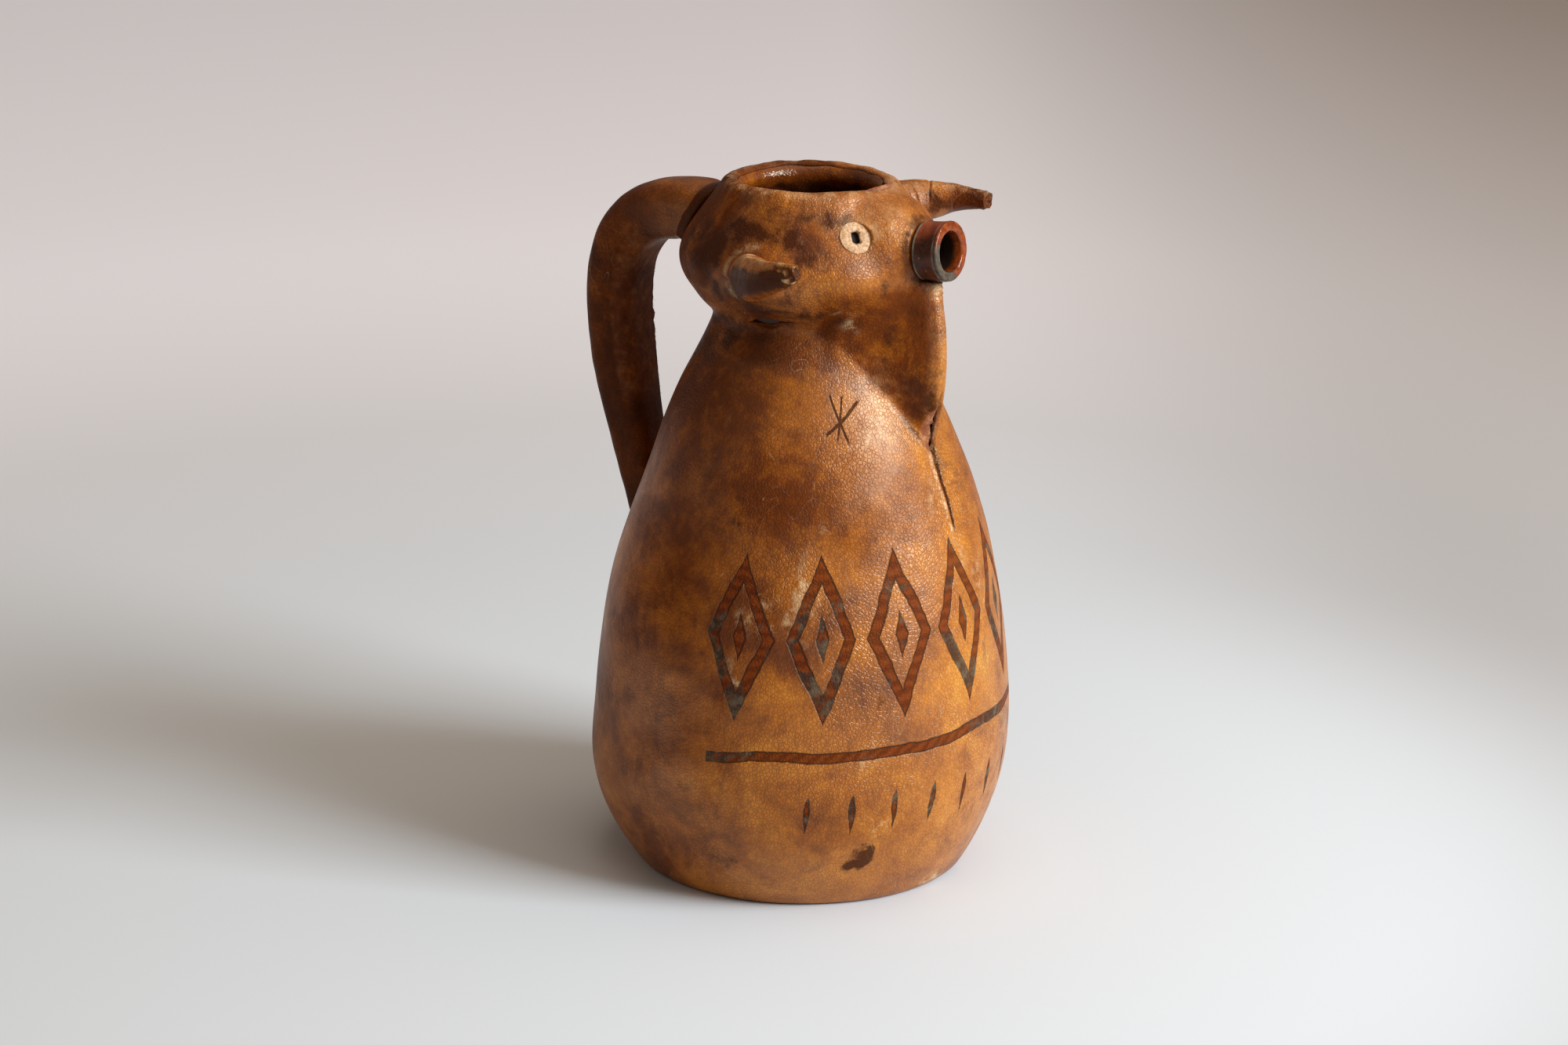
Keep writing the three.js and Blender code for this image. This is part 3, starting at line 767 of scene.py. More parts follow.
def hide_finish(name, darker=0.0, marked=False, gloss=0.0, shine=0.76, mottle=0.85):
    hide = Finish(name, Specular_Tint=(1.0, 0.88, 0.70, 1))
    # The tan layer: patina and painted shade away from the window; below 0 it is painted light.
    tan = hide.layer("tan")
    broad = hide.cloud(66, 5, 0.6, 0.4)
    patch = hide.cloud(20, 8, 0.68, 0.5, shift=3.1)
    fleck = hide.cloud(4.2, 6, 0.65, shift=5.3)
    fibre = hide.cloud(1.5, 4, 0.6, stretch=(1, 1, 5), shift=7.7)
    tone = 0.40 * broad + 0.42 * patch + 0.12 * fleck + 0.06 * fibre
    tone = mottle * tone + 0.5 * (1 - mottle) - (0.105 * tan + darker)
    colour = hide.ramp(
        tone,
        (0.30, (0.065, 0.013, 0.0016)), (0.40, (0.155, 0.032, 0.0025)), (0.49, (0.38, 0.105, 0.006)),
        (0.57, (0.56, 0.186, 0.012)), (0.67, (0.69, 0.31, 0.042)),
    )
    feather = hide.wave(15, 10, 0.76, 0.6, shift=13.0)
    speckle = hide.wave(3.4, 8, 0.72, 0.2, shift=14.0)
    # The stain layer: real stains, and painted shade in creases, grooves, joints and hollows.
    stain_and_shade = hide.step(hide.layer("stain_and_shade") + 2.2 * feather + 0.9 * speckle, 0.25, 0.90, 0.0, 0.92)
    smoke = hide.step(hide.cloud(19, 10, 0.72, 0.9, shift=11.9), 0.53, 0.66, 0.0, 0.5 * mottle)
    colour = hide.tint(smoke, colour, SMOKE_TINT)
    colour = hide.tint(stain_and_shade, colour, STAIN_AND_SHADE_TINT)

    valley = hide.step(hide.pebbles(1.45), 0.0, 0.22)
    # The grain's valleys are darkened: painted shade.
    colour = hide.tint(hide.step(valley, 0.0, 1.0, 0.3, 0.0), colour, VALLEY_TINT)
    scratch = abs(hide.wave(9, 2, 0.4, 1.2, stretch=(1, 1, 3), shift=17.0))
    hairline = hide.step(scratch, 0.0, 0.006, 0.28, 0.0)
    where = hide.step(hide.cloud(45, 3, shift=19.0), 0.52, 0.66)
    # The pale layer holds real scuffs and painted highlights.
    scuff_and_highlight = most(hairline * where, hide.layer("pale") * hide.step(fleck, 0.40, 0.60))
    colour = hide.tint(scuff_and_highlight, colour, SCUFF_AND_HIGHLIGHT_TINT)
    satin = hide.step(patch, 0.3, 0.7, 0.42 - gloss, 0.32 - gloss) + 0.10 * tan
    grain_depth = hide.step(hide.cloud(33, 3, shift=29.0), 0.35, 0.65, 0.35, 1.0)
    grain = valley * grain_depth + 0.4 * fibre

    if marked:
        burn, bar = burnt_bars(hide, patch, fleck)
        colour = hide.tint(0.92 * burn, colour, bar)
        satin = satin + 0.14 * burn
        grain = grain - 1.6 * burn
        stain_and_shade = most(stain_and_shade, burn)

    raw = hide.layer("raw")
    flesh = hide.ramp(
        fleck, (0.32, (0.12, 0.028, 0.010)), (0.5, (0.25, 0.070, 0.025)), (0.68, (0.44, 0.20, 0.08)))
    colour = hide.tint(hide.step(raw, 0.35, 0.8), colour, flesh)
    hide.drive("Base Color", colour)
    hide.drive("Specular IOR Level", shine - 0.88 * shine * most(tan, stain_and_shade))
    hide.drive("Roughness", satin + 0.35 * raw)
    rough = hide.relief(hide.cloud(7.5, 4, 0.6, shift=31.0), 0.35)
    hide.drive("Normal", hide.relief(grain, 0.13, rough))
    return hide.material


amber_hide = hide_finish("amber_hide")
marked_hide = hide_finish("marked_hide", marked=True)
brown_hide = hide_finish("brown_hide", darker=0.035, shine=0.5, mottle=0.75)
# The mouth strip's tone is darker overall: painted shade inside the mouth.
lining_hide = hide_finish("lining_hide", darker=0.07, gloss=0.15, shine=0.6)
print("hide finishes made")

# %% [markdown]
# ## The body's hide
# One sheet goes round the belly and is closed by a seam at the front. Above the seam it is pinched into
# the dewlap in one piece, and where the pinch runs out the two edges gape. The grid starts at one edge
# of the seam and ends at the other, and above the gape its first and last column share their points.

# %% Body grid
def front_loaded(count, *runs):
    """Angles of a whole turn from the front, closer together where the runs ask for smaller steps."""
    ends, steps = zip(*runs)
    fine = np.linspace(0, 180, 3601)
    density = 1 / np.interp(fine, ends, steps)
    reach = np.concatenate([[0], np.cumsum((density[1:] + density[:-1]) / 2)])
    half = np.radians(np.interp(np.linspace(0, reach[-1], count + 1), reach, fine))
    return np.concatenate([half, 2 * np.pi - half[-2::-1]])


def between(start, end, shares):
    """Rows of values that run from one edge to the other, one row for each share."""
    return start + (end - start) * shares[:, None]


BASE_EDGE = 0.3
BODY_ROWS = 200
columns = front_loaded(188, (0, 0.36), (5, 0.42), (9, 0.8), (40, 0.9), (125, 1.05), (180, 1.5))
apart = loose_edge(signed(columns))
top_edge = neck_joint(signed(columns)) + 0.4 - 0.45 * apart - 1.5 * neck_slit(signed(columns))
height = between(BASE_EDGE, top_edge, spaced_rows(BODY_ROWS, 220))
front = height[:, 0]

SEAM_FOOT = 135.0
GAPE_TOP = 195.0
GAPE_MIDDLE = 178.5
seam_rows = tuple(COARSE * int(round(np.argmax(front > level) / COARSE)) for level in (SEAM_FOOT, GAPE_TOP))
lens = np.clip(1 - ((front - GAPE_MIDDLE) / 8.5) ** 2, 0, None)
gape = 0.15 + 0.95 * ease(140, 164, front) + 2.9 * lens
seam_foot, seam_top = (front[row] for row in seam_rows)
gape *= ease(seam_foot, seam_foot + 6, front) * ease(seam_top, seam_top - 4, front)
opening = (gape / body_radius(np.zeros_like(front), front))[:, None]
SEAM_REACH = radians(15)
far_side = np.clip(1 - columns / SEAM_REACH, 0, 1) ** 2
near_side = np.clip(1 - (2 * np.pi - columns) / SEAM_REACH, 0, 1) ** 2
NEAR_SHARE = 0.9
FAR_SHARE = 0.3
turn_angle = columns + opening * (FAR_SHARE * far_side - NEAR_SHARE * near_side)
around = signed(turn_angle)
print("body grid", turn_angle.shape, "seam open between rows", seam_rows)

# %% [markdown]
# Now the grid gets its shape: the plain form with the dewlap, soft lumps, a groove under the neck
# crease, raised lips along the seam, and one lip cut back to a slope where the seam gapes.

# %% Body shape
BACK_TURN = radians(147)


def seam_stretch(low, full, still, gone):
    """1 along a stretch of the front seam, fading out below and above it."""
    return (ease(low, full, front) * ease(gone, still, front))[:, None]


radius = body_radius(around, height)
places = turned(radius, turn_angle, height)
joint_distance = top_edge - height
calm = ease(radians(12), radians(35), np.pi - np.abs(around)) * ease(1, 14, joint_distance)
radius += calm * (0.8 * ripple(places, 46, 1) + 0.25 * ripple(places, 17, 2))
from_back = signed(around + BACK_TURN)
foot_bulge = 2.3 * hump(from_back, 0, 0.8) - 0.9 * hump(around, 0.58, 0.5)
radius += hump(height, 28, 24) * foot_bulge
radius -= 0.85 * crease_depth(around) * hump(joint_distance, 0, 4.2)
radius += 0.8 * pleats(around, height) * hump(joint_distance, 4.5, 4.5)
radius -= 2.2 * hump(height, 150, 28) * hump(from_back, 0, 0.45)
near = around < 0
edge_gap = np.where(near, NEAR_SHARE, FAR_SHARE) * gape[:, None]
seam_distance = np.abs(around) * radius - edge_gap
on_seam = (gape > 0.02)[:, None]
radius += hump(seam_distance, 0, 4.0) * np.where(near, 0.7, 0.0) * lens[:, None]
radius += 0.5 * hump(seam_distance, 0, 1.9) * seam_stretch(137, 150, 164, 176)
radius -= 0.05 * (1 - loose_edge(around)) * ease(0.6, 0.2, joint_distance)

body_skin = turned(radius, turn_angle, height)
slope = np.clip(1 - seam_distance / 2.0, 0, 1) * np.sqrt(lens)[:, None] * near
edge = strongest(
    0.7 * cut_edge(height - BASE_EDGE),
    loose_edge(around) * (0.3 + 0.4 * neck_slit(around)) * cut_edge(joint_distance, 1.1),
    0.6 * cut_edge(seam_distance, 1.0) * on_seam * ease(0, 0.3, gape)[:, None],
    0.93 * slope,
)
body_shown, body_hidden, body_out = thick(body_skin, edge)
print("body skin from", body_shown.min(axis=(0, 1)).round(1), "to", body_shown.max(axis=(0, 1)).round(1))

# %% [markdown]
# Handling and smoke left stains that don't follow the form, so they are listed: each is an angle,
# a height, a half width, a half height and a strength. Smudges are dark and tanned places are brown.
# Some smudges, along the neck crease, on the dewlap's flank and beside the gape, are painted shade, and
# the tanned places are patina together with painted shade on the side away from the window. Rubbed places
# are paler than the rest, and the large one at the front right is painted light. Scuffs have lost their
# surface, and the wide one on the chest is a painted highlight. Head and body share these lists, because
# the stains were there before anyone thought about two sheets.

# %% Stains
# Most smudges are stains; those by the neck crease, on the dewlap's flank and by the gape are painted shade.
SMUDGES_AND_SHADE = (
    (-112, 241, 9, 12, 1.0), (-132, 246, 13, 12, 0.6), (-91, 253, 15, 6, 1.0), (-67, 252, 6, 6, 1.1),
    (-108, 245, 7, 8, 1.2), (-102, 231, 7, 6, 0.9), (-58, 245, 5, 5, 0.9), (-78, 225, 9, 4, 0.9),
    (-61, 233, 7, 4, 0.4), (-56, 248, 9, 7, 0.8), (-43, 258, 9, 4, 0.7), (-75, 258, 12, 4, 0.6),
    (-118, 248, 14, 12, 0.7), (-115, 233, 10, 8, 0.7), (-88, 231, 16, 4, 0.8), (-106, 233, 7, 7, 0.7),
    (-61, 236, 10, 5, 0.5), (-54, 258, 8, 3, 0.7), (-105, 258, 8, 4, 0.3), (-84, 227, 11, 4, 0.8),
    (-62, 224.5, 9, 2.4, 0.85), (-49, 226, 8, 2.2, 0.75), (-68, 230, 8, 4, 0.6),
    (-50, 225, 8, 3, 0.45), (-95, 230, 6, 6, 0.7), (-18, 252, 4, 5, 0.3), (-13, 240, 4, 7, 0.6),
    (-26, 246, 4, 9, 0.55), (-20, 233, 8, 4, 0.5), (-8, 254, 5, 4, 0.3), (-27, 227, 5, 2.5, 0.4),
    (-17, 223, 7, 3, 0.5), (-9, 220, 7, 4, 0.45), (-15, 213, 5, 9, 0.6), (-12, 203, 9, 10, 0.55),
    (-9, 196, 7, 9, 0.85), (-5, 189, 5, 10, 1.0), (-5, 177, 3.5, 7, 0.6), (-24, 200, 6, 6, 0.25),
    (-104, 214, 24, 7, 0.75), (-89, 207, 18, 6, 0.55), (-137, 206, 22, 13, 0.7),
    (-52, 214, 10, 5, 0.5), (-34, 211, 4, 6, 0.6), (-80, 163, 26, 20, 0.2), (-38, 154, 10, 4, 0.5),
    (-44, 152, 9, 4, 0.45), (-80, 148, 7, 4, 0.65), (-56, 148, 12, 3.5, 0.4), (-21, 142, 10, 4, 0.4),
    (-90, 50, 10, 5, 0.45), (-61, 39, 9, 4, 0.35), (-78, 22, 15, 5, 0.5), (-48, 29, 10, 5, 0.5),
    (-43, 20, 5, 3.5, 1.6), (-39, 22, 4, 4, 1.4), (-33, 90, 8, 6, 0.5), (180, 116, 30, 24, 0.8),
    (150, 60, 40, 30, 0.4), (100, 170, 30, 25, 0.45), (180, 250, 22, 16, 0.6), (120, 240, 20, 14, 0.5),
    (88, 238, 10, 8, 0.7), (60, 226, 20, 4, 0.5),
)
# Tanned places: brown patina and painted shade on the side away from the window.
TANNED_AND_SHADED = (
    (-125, 188, 40, 42, 0.95), (-104, 118, 42, 44, 1.0), (-95, 66, 40, 30, 0.8),
    (-76, 115, 28, 36, 0.75), (-64, 158, 34, 22, 0.9), (-40, 148, 24, 12, 0.85),
    (-50, 40, 60, 24, 0.45), (-140, 60, 40, 40, 0.6), (-52, 251, 15, 11, 0.7), (-22, 160, 18, 15, 0.6),
    (-6, 165, 8, 14, 0.2), (-23, 246, 8, 12, 0.6), (-45, 241, 12, 7, 0.3), (-90, 242, 22, 18, 0.8),
    (-100, 20, 40, 18, 0.75), (-79, 90, 15, 14, 0.8), (-73, 124, 9, 9, 0.8), (120, 120, 60, 60, 0.5),
    (180, 150, 50, 60, 0.6),
)
# Rubbed places are paler; the large one at the front right is painted light.
RUBBED_AND_LIT = (
    (6, 88, 28, 44, 0.8), (-12, 40, 30, 24, 0.25), (-50, 20, 30, 10, 0.25), (-102, 79, 16, 15, 0.9),
    (-93.5, 53, 10, 9, 0.8),
)
# Scuffs are pale wear; the wide one on the chest beside the dewlap is a painted highlight.
SCUFFS_AND_HIGHLIGHTS = (
    (-27, 187, 8, 12, 0.3), (12, 45, 20, 22, 0.1), (-73.8, 114, 2.4, 3, 0.6),
    (-68.6, 122, 2, 2.5, 0.6), (-75.7, 96, 2, 3.5, 0.8), (-40.4, 65, 3, 2, 0.6), (-55, 127, 2, 9, 0.7),
    (-5.8, 2, 5, 1.8, 1), (-57, 119, 2, 8, 0.6), (18, 28, 3, 6, 0.6), (-2, 131, 5, 5, 0.5),
    (8, 120, 3, 6, 0.5), (-8, 158, 4, 6, 0.35), (-33.3, 219.9, 1.6, 2.2, 0.4),
    (-40, 225.7, 2.4, 1.0, 0.3), (-28, 257, 9, 4, 0.3), (-30, 178, 1, 9, 0.5),
)


def spots(angle, level, places):
    """The strongest of the listed spots at each place, with their outlines pushed about by a ripple."""
    total = np.zeros(angle.shape)
    around_here = turned(leather_radius(level), angle, level)
    angle = angle + 0.11 * ripple(around_here, 13, 21) + 0.05 * ripple(around_here, 5, 22)
    level = level + 5.0 * ripple(around_here, 12, 23) + 2.0 * ripple(around_here, 4.5, 24)
    for middle, height_of, half_width, half_height, strength in places:
        x = signed(angle - radians(middle)) * leather_radius(level)
        falloff = np.exp(-(x / half_width) ** 2 - ((level - height_of) / half_height) ** 2)
        total = np.maximum(total, strength * falloff)
    return total


print("places listed:", len(SMUDGES_AND_SHADE + TANNED_AND_SHADED + RUBBED_AND_LIT + SCUFFS_AND_HIGHLIGHTS))

# %% [markdown]
# Some darkening does follow the form, and it is painted shade: the flanks of the dewlap, which face away
# from the window, the neck under the head, the nape and both sides of the snout are darker. They join the
# listed places, and then the body's layers can be laid on its grid.

# %% Body layers
def tan_and_shade_at(angle, level):
    """Browner than usual: patina and painted shade. Below 0 paler: rubbed places and painted light."""
    flank = -np.abs(np.degrees(angle))
    foot = np.interp(flank, (-57, -48, -37, -24.6, -6, -2), (215, 213, 209, 199, 178.5, 170))
    # The dewlap's flank, the neck under the head, the nape and the snout's sides: painted shade.
    fold = ease(-2.0, 2.5, level - foot) * ease(-62, -48, flank)
    fold = fold * ease(-2.5, -6.0, flank) * ease(240, 230, level)
    neck = (0.6 + 0.3 * ease(-60, -85, flank)) * ease(238, 227, level)
    neck = neck * ease(198, 207, level) * ease(-28, -46, flank)
    nape = ease(-86, -112, flank) * ease(222, 232, level)
    snout = 0.7 * ease(-36, -24, flank) * ease(-3, -9, flank) * hump(level, 243, 9)
    total = strongest(spots(angle, level, TANNED_AND_SHADED), fold, neck, nape, snout)
    return np.clip(total - spots(angle, level, RUBBED_AND_LIT), -0.8, 1)


# Painted shade along the neck crease, uneven along its length.
def neck_crease_shade(skin, angle):
    return (0.5 + 0.9 * ripple(skin, 12, 25)) * parted(angle)


body_layers = {
    "stain_and_shade": strongest(
        spots(around, height, SMUDGES_AND_SHADE),
        # Painted shade in the neck crease and in the groove of the seam.
        neck_crease_shade(body_skin, around) * hump(joint_distance, 0, 4.5),
        0.9 * hump(seam_distance, 0, 1.0) * seam_stretch(136, 146, 168, 180),
    ),
    "tan": tan_and_shade_at(around, height),
    "pale": strongest(
        spots(around, height, SCUFFS_AND_HIGHLIGHTS),
        # A painted highlight on the seam's near lip; wear and a painted highlight along the keel's nose.
        0.75 * near * hump(seam_distance, 1.9, 0.7) * seam_stretch(137, 142, 160, 172),
        0.12 * hump(np.abs(around), 0, radians(3.2)) * ease(196, 202, height),
    ),
    "raw": strongest(
        0.7 * cut_edge(height - BASE_EDGE, 0.9),
        np.maximum(0.4, neck_slit(around)) * loose_edge(around) * cut_edge(joint_distance, 0.7),
        cut_edge(seam_distance, 0.8) * on_seam * ease(0, 0.4, gape)[:, None],
        ease(0.0, 0.12, slope),
    ),
}
body_hide = leather_shell("body_hide", body_shown, body_hidden, marked_hide, body_layers, seam_rows)

# %% [markdown]
# ## The head's hide
# The upper sheet runs from the neck crease over the crown and a little way into the mouth. It follows
# the outline by arc length instead of height, because it rolls over the rim. A muzzle is pushed out
# along the spout's own axis, the horn roots swell, and fine wrinkles gather towards the rim.

# %% Rim and path
SPOUT_HEIGHT = 241.5
SPOUT_TILT = radians(5)
spout_axis = np.array([math.cos(SPOUT_TILT), 0, math.sin(SPOUT_TILT)])
spout_start = np.array([0, 0, SPOUT_HEIGHT])
rim_point, rim_out = clay[-1], clay_out[-1]
rim_in = np.array([-rim_out[1], rim_out[0]])
rim_middle = rim_point - WALL / 2 * rim_out


def rim_roll(start, end, offset, steps=40, thinner=0.0):
    """An arc round the end of the wall. The offset may grow thinner towards its end."""
    angle = np.linspace(start, end, steps)[:, None]
    out = rim_out * np.cos(angle) + rim_in * np.sin(angle)
    offset = offset - thinner * np.linspace(0, 1, steps)[:, None] ** 1.5
    return rim_middle + (WALL / 2 + offset) * out, out


def measured(points, out):
    """A path without doubled points, its outward directions and its running length."""
    keep = np.concatenate([[True], np.diff(running_length(points)) > 1e-6])
    return points[keep], out[keep], running_length(points[keep])


def along_path(path, distance, angle):
    """Places and outward directions on a path that is carried round the axis."""
    points, out, length = path
    radius, level = row_at(distance, length, points)
    out_radius, out_level = row_at(distance, length, out)
    return turned(radius, angle, level), unit(turned(out_radius, angle, out_level))


HEAD_FROM = 207
ROLL_END = radians(106)
ROLL_THINNER = 0.9
above = leather[:, 1] > HEAD_FROM
roll_points, roll_out = rim_roll(0, ROLL_END, COVER, thinner=ROLL_THINNER)
head_path = measured(
    np.concatenate([leather[above], roll_points]), np.concatenate([clay_out[above], roll_out]))
crest = np.argmax(head_path[0][:, 1])
print("head path of", round(head_path[2][-1], 1), "mm, crest at", head_path[0][crest].round(1))

# %% [markdown]
# Eyes and horns have fixed places on the head, and the head's hide has to know them: it stays calm round
# the eyes and swells into a mound at the root of each horn.

# %% Eye and horn places
EYE_HEIGHT = 250.9
EYE_TURN = radians(33.5)
HORN_RISE = {1: (9.0, 6.0), -1: (0.0, 10.0)}
eye_point, eye_out = clay_place(EYE_HEIGHT)


def eye_axis(side):
    around_eye = np.array([math.cos(EYE_TURN), side * math.sin(EYE_TURN), 0])
    normal = around_eye * eye_out[0] + np.array([0, 0, 1]) * eye_out[1]
    return around_eye * eye_point[0] + np.array([0, 0, eye_point[1]]), normal


def horn_line(side, share, bowed=True):
    root_rise, tip_rise = HORN_RISE[side]
    skin = CROWN[0] + COVER
    corners = np.array([
        (4, side * (skin - 8), CROWN[1] + root_rise),
        (10, side * (skin + 17), CROWN[1] + root_rise),
        (38, side * (skin + 17), CROWN[1] + root_rise + tip_rise),
    ])
    t = np.asarray(share, float)[..., None]
    line = corners[0] * (1 - t) ** 2 + 2 * corners[1] * t * (1 - t) + corners[2] * t ** 2
    t = t[..., 0]
    if bowed and side > 0:
        line[..., 2] += 2.0 * np.sin(np.pi * t) - 1.7 * t ** 3 - 2.4 * np.maximum(1 - t, 0) ** 1.5
    if bowed and side < 0:
        line[..., 2] += 0.4 * np.sin(np.pi * t)
    return line


print("eyes at", eye_axis(-1)[0].round(1))
print("horn tips at", horn_line(-1, 1.0).round(1), horn_line(1, 1.0).round(1))

# %% [markdown]
# The head's grid follows the path from the crease to just past the crest of the rim. Displacements along
# the hide's own direction add lumps, gathers towards the rim and the horn mounds.

# %% Head shape
HEAD_ROWS = 132
head_turn = front_loaded(200, (0, 0.75), (45, 0.75), (75, 0.8), (130, 0.9), (180, 1.1))
head_around = signed(head_turn)
bottom_edge = neck_joint(head_around) + 0.05 * loose_edge(head_around) + 1.2 * neck_slit(head_around)
rising = slice(0, crest + 1)
start = np.interp(bottom_edge, head_path[0][rising, 1], head_path[2][rising])
end = head_path[2][-1] - 1.4 + 1.3 * ring_ripple(30.0, head_turn, 9, 5)
run = between(start, end, spaced_rows(HEAD_ROWS, 64))
grid_turn = np.broadcast_to(head_turn, run.shape)
grid_around = signed(grid_turn)
place, out = along_path(head_path, run, grid_turn)
from_crest = run - head_path[2][crest]
edge_distance = run - start

calm = ease(radians(16), radians(40), np.pi - np.abs(grid_around)) * ease(0.5, 10, edge_distance)
for side in (1, -1):
    calm = calm * (1 - hump(np.linalg.norm(place - eye_axis(side)[0], axis=-1), 0, 9))
swell = calm * (0.9 * ripple(place, 30, 6) + 0.35 * ripple(place, 11, 7))
swell += 0.24 * ring_ripple(30.0, grid_turn, 1.9, 8, place[..., 2] * 0.12) * hump(from_crest, -5, 6)
swell += 0.4 * ripple(place, 8, 9) * hump(from_crest, 0, 4)
swell -= 0.85 * crease_depth(grid_around) * hump(edge_distance, 0, 4.6)
roll_under = hump(edge_distance, 7.5, 4.5) * parted(grid_around)
swell += 0.5 * roll_under * (1 + ripple(place, 9, 10))
swell += 0.7 * pleats(grid_around, place[..., 2]) * hump(edge_distance, 4, 4)
for side, mound, spread in ((1, 4.4, (11.5, 12.0, 11.0)), (-1, 3.0, (11.5, 12.0, 9.0))):
    from_stem = np.sum(((place - horn_line(side, 0.2)) / np.array(spread)) ** 2, axis=-1)
    swell += mound * np.exp(-from_stem ** 1.3)
head_skin = place + out * swell[..., None]
print("head grid", run.shape, "swells by up to", swell.max().round(1), "mm")

# %% [markdown]
# After that the dewlap and the muzzle are drawn out, each by a rounded maximum. The fold is tied off at
# the throat, where a short row of ridges is left.

# %% Muzzle
COLLAR_BACK = 51.8
COLLAR_RADIUS = 11.2
level = head_skin[..., 2]
flat = np.hypot(head_skin[..., 0], head_skin[..., 1])
throat_fade = 0.2 + 9 * ease(radians(4), radians(14), np.abs(grid_around))
throat = ease(THROAT[1] + 2.8, THROAT[1] - throat_fade, level)
wide = flat + throat * (with_dewlap(flat, grid_around, level) - flat)
knot = hump(grid_around, 0, radians(3)) * ease(227.5, 229.5, level) * ease(236, 235, level)
wide += 0.4 * knot * np.sin(level * 2 * math.pi / 1.9)
head_skin[..., :2] *= (wide / flat)[..., None]

offset = head_skin - spout_start
forward = offset @ spout_axis
beside = np.linalg.norm(offset - forward[..., None] * spout_axis, axis=-1)
muzzle = COLLAR_BACK - 0.4 - 0.95 * np.maximum(beside - COLLAR_RADIUS - 0.4, 0) - 0.05 * beside
pushed = rounded_max(forward, muzzle, 6.0)
pushed = np.where(beside < COLLAR_RADIUS + 0.5, np.minimum(pushed, COLLAR_BACK - 0.3), pushed)
in_front = ease(26, 17, beside) * (forward > 0) * ease(0, 6, edge_distance)
head_skin += ((pushed - forward) * in_front)[..., None] * spout_axis
print("muzzle pushed out by up to", ((pushed - forward) * in_front).max().round(1), "mm")

# %% [markdown]
# The head gets its layers from the same lists as the body, and a few of its own: grime and painted shade
# in a ring behind the collar, a rubbed rim, a pale knot at the throat, and a pale ring round the root of
# the near horn.

# %% Head layers
head_edge = strongest(
    loose_edge(grid_around) * (0.3 + 0.4 * neck_slit(grid_around)) * cut_edge(edge_distance, 1.1),
    0.22 * cut_edge(end - run, 1.0),
)
head_shown, head_hidden, _ = thick(head_skin, head_edge)
head_height = head_skin[..., 2]
stem = horn_line(-1, 0.14)
from_stem = np.linalg.norm((head_skin - stem) * np.array([1, 0.6, 1]), axis=-1)
behind_stem = stem[0] - head_skin[..., 0] + 0.4 * (head_height - stem[2])
root_ring = hump(from_stem, 10.6, 1.1) * ease(0.0, 7.0, behind_stem)
head_layers = {
    "stain_and_shade": strongest(
        spots(grid_around, head_height, SMUDGES_AND_SHADE),
        # Painted shade in the neck crease, and grime and painted shade in a ring behind the collar.
        neck_crease_shade(head_skin, grid_around) * hump(edge_distance, 0, 5.0),
        0.75 * hump(beside, COLLAR_RADIUS + 0.8, 2.4) * (forward > 20),
    ),
    "tan": tan_and_shade_at(grid_around, head_height),
    "pale": strongest(
        spots(grid_around, head_height, SCUFFS_AND_HIGHLIGHTS),
        0.3 * hump(from_crest, -1.5, 2.5),
        0.55 * knot,
        0.5 * root_ring * (head_skin[..., 1] < 0),
    ),
    "raw": 0.4 * loose_edge(grid_around) * cut_edge(edge_distance, 0.7),
}
head_hide = leather_shell(
    "head_hide", head_shown, head_hidden, amber_hide, head_layers, (HEAD_ROWS, HEAD_ROWS))

# %% [markdown]
# ## Holes in the head's hide
# The spout and the two eyes need clean round holes. A hole punch is just a rod, and a Boolean modifier
# does the punching. The result is turned into a plain mesh straight away.

# %% Punch holes
def rod(centre, axis, radius, length, sides=56):
    axis = unit(np.asarray(axis, float))
    across = unit(np.cross(axis, (0, 1, 0) if abs(axis[1]) < 0.9 else (1, 0, 0)))
    other = np.cross(axis, across)
    angle = np.linspace(0, 2 * np.pi, sides + 1)[:-1, None]
    circle = radius * (np.cos(angle) * across + np.sin(angle) * other)
    points = np.concatenate([centre - axis * length / 2 + circle, centre + axis * length / 2 + circle])
    faces = [[i, (i + 1) % sides, sides + (i + 1) % sides, sides + i] for i in range(sides)]
    faces += [list(range(sides))[::-1], list(range(sides, 2 * sides))]
    return make_piece("punch", points, faces, amber_hide)


def plain_mesh(piece):
    graph = bpy.context.evaluated_depsgraph_get()
    mesh = bpy.data.meshes.new_from_object(piece.evaluated_get(graph))
    mesh.name = piece.name
    piece.modifiers.clear()
    piece.data = mesh
    return piece


def punch(piece, tool):
    modifier = piece.modifiers.new("punch", "BOOLEAN")
    modifier.operation = "DIFFERENCE"
    modifier.solver = "EXACT"
    modifier.object = tool
    plain_mesh(piece)
    bpy.data.objects.remove(tool)


EYE_RADIUS = 6.05
TUBE_RADIUS = 8.3
SPOUT_MIDDLE = 52
for side in (1, -1):
    centre, normal = eye_axis(side)
    punch(head_hide, rod(centre, normal, EYE_RADIUS, length=16))
punch(head_hide, rod(spout_start + SPOUT_MIDDLE * spout_axis, spout_axis, TUBE_RADIUS + GAP, length=30))
print("head hide now has", len(head_hide.data.polygons), "faces")

# %% [markdown]
# ## The strip in the mouth
# A second strip of hide lines the mouth, tucked under the turned edge of the head's hide. It was pushed
# down wet, so it is full of upright wrinkles, and its lower edge is uneven.

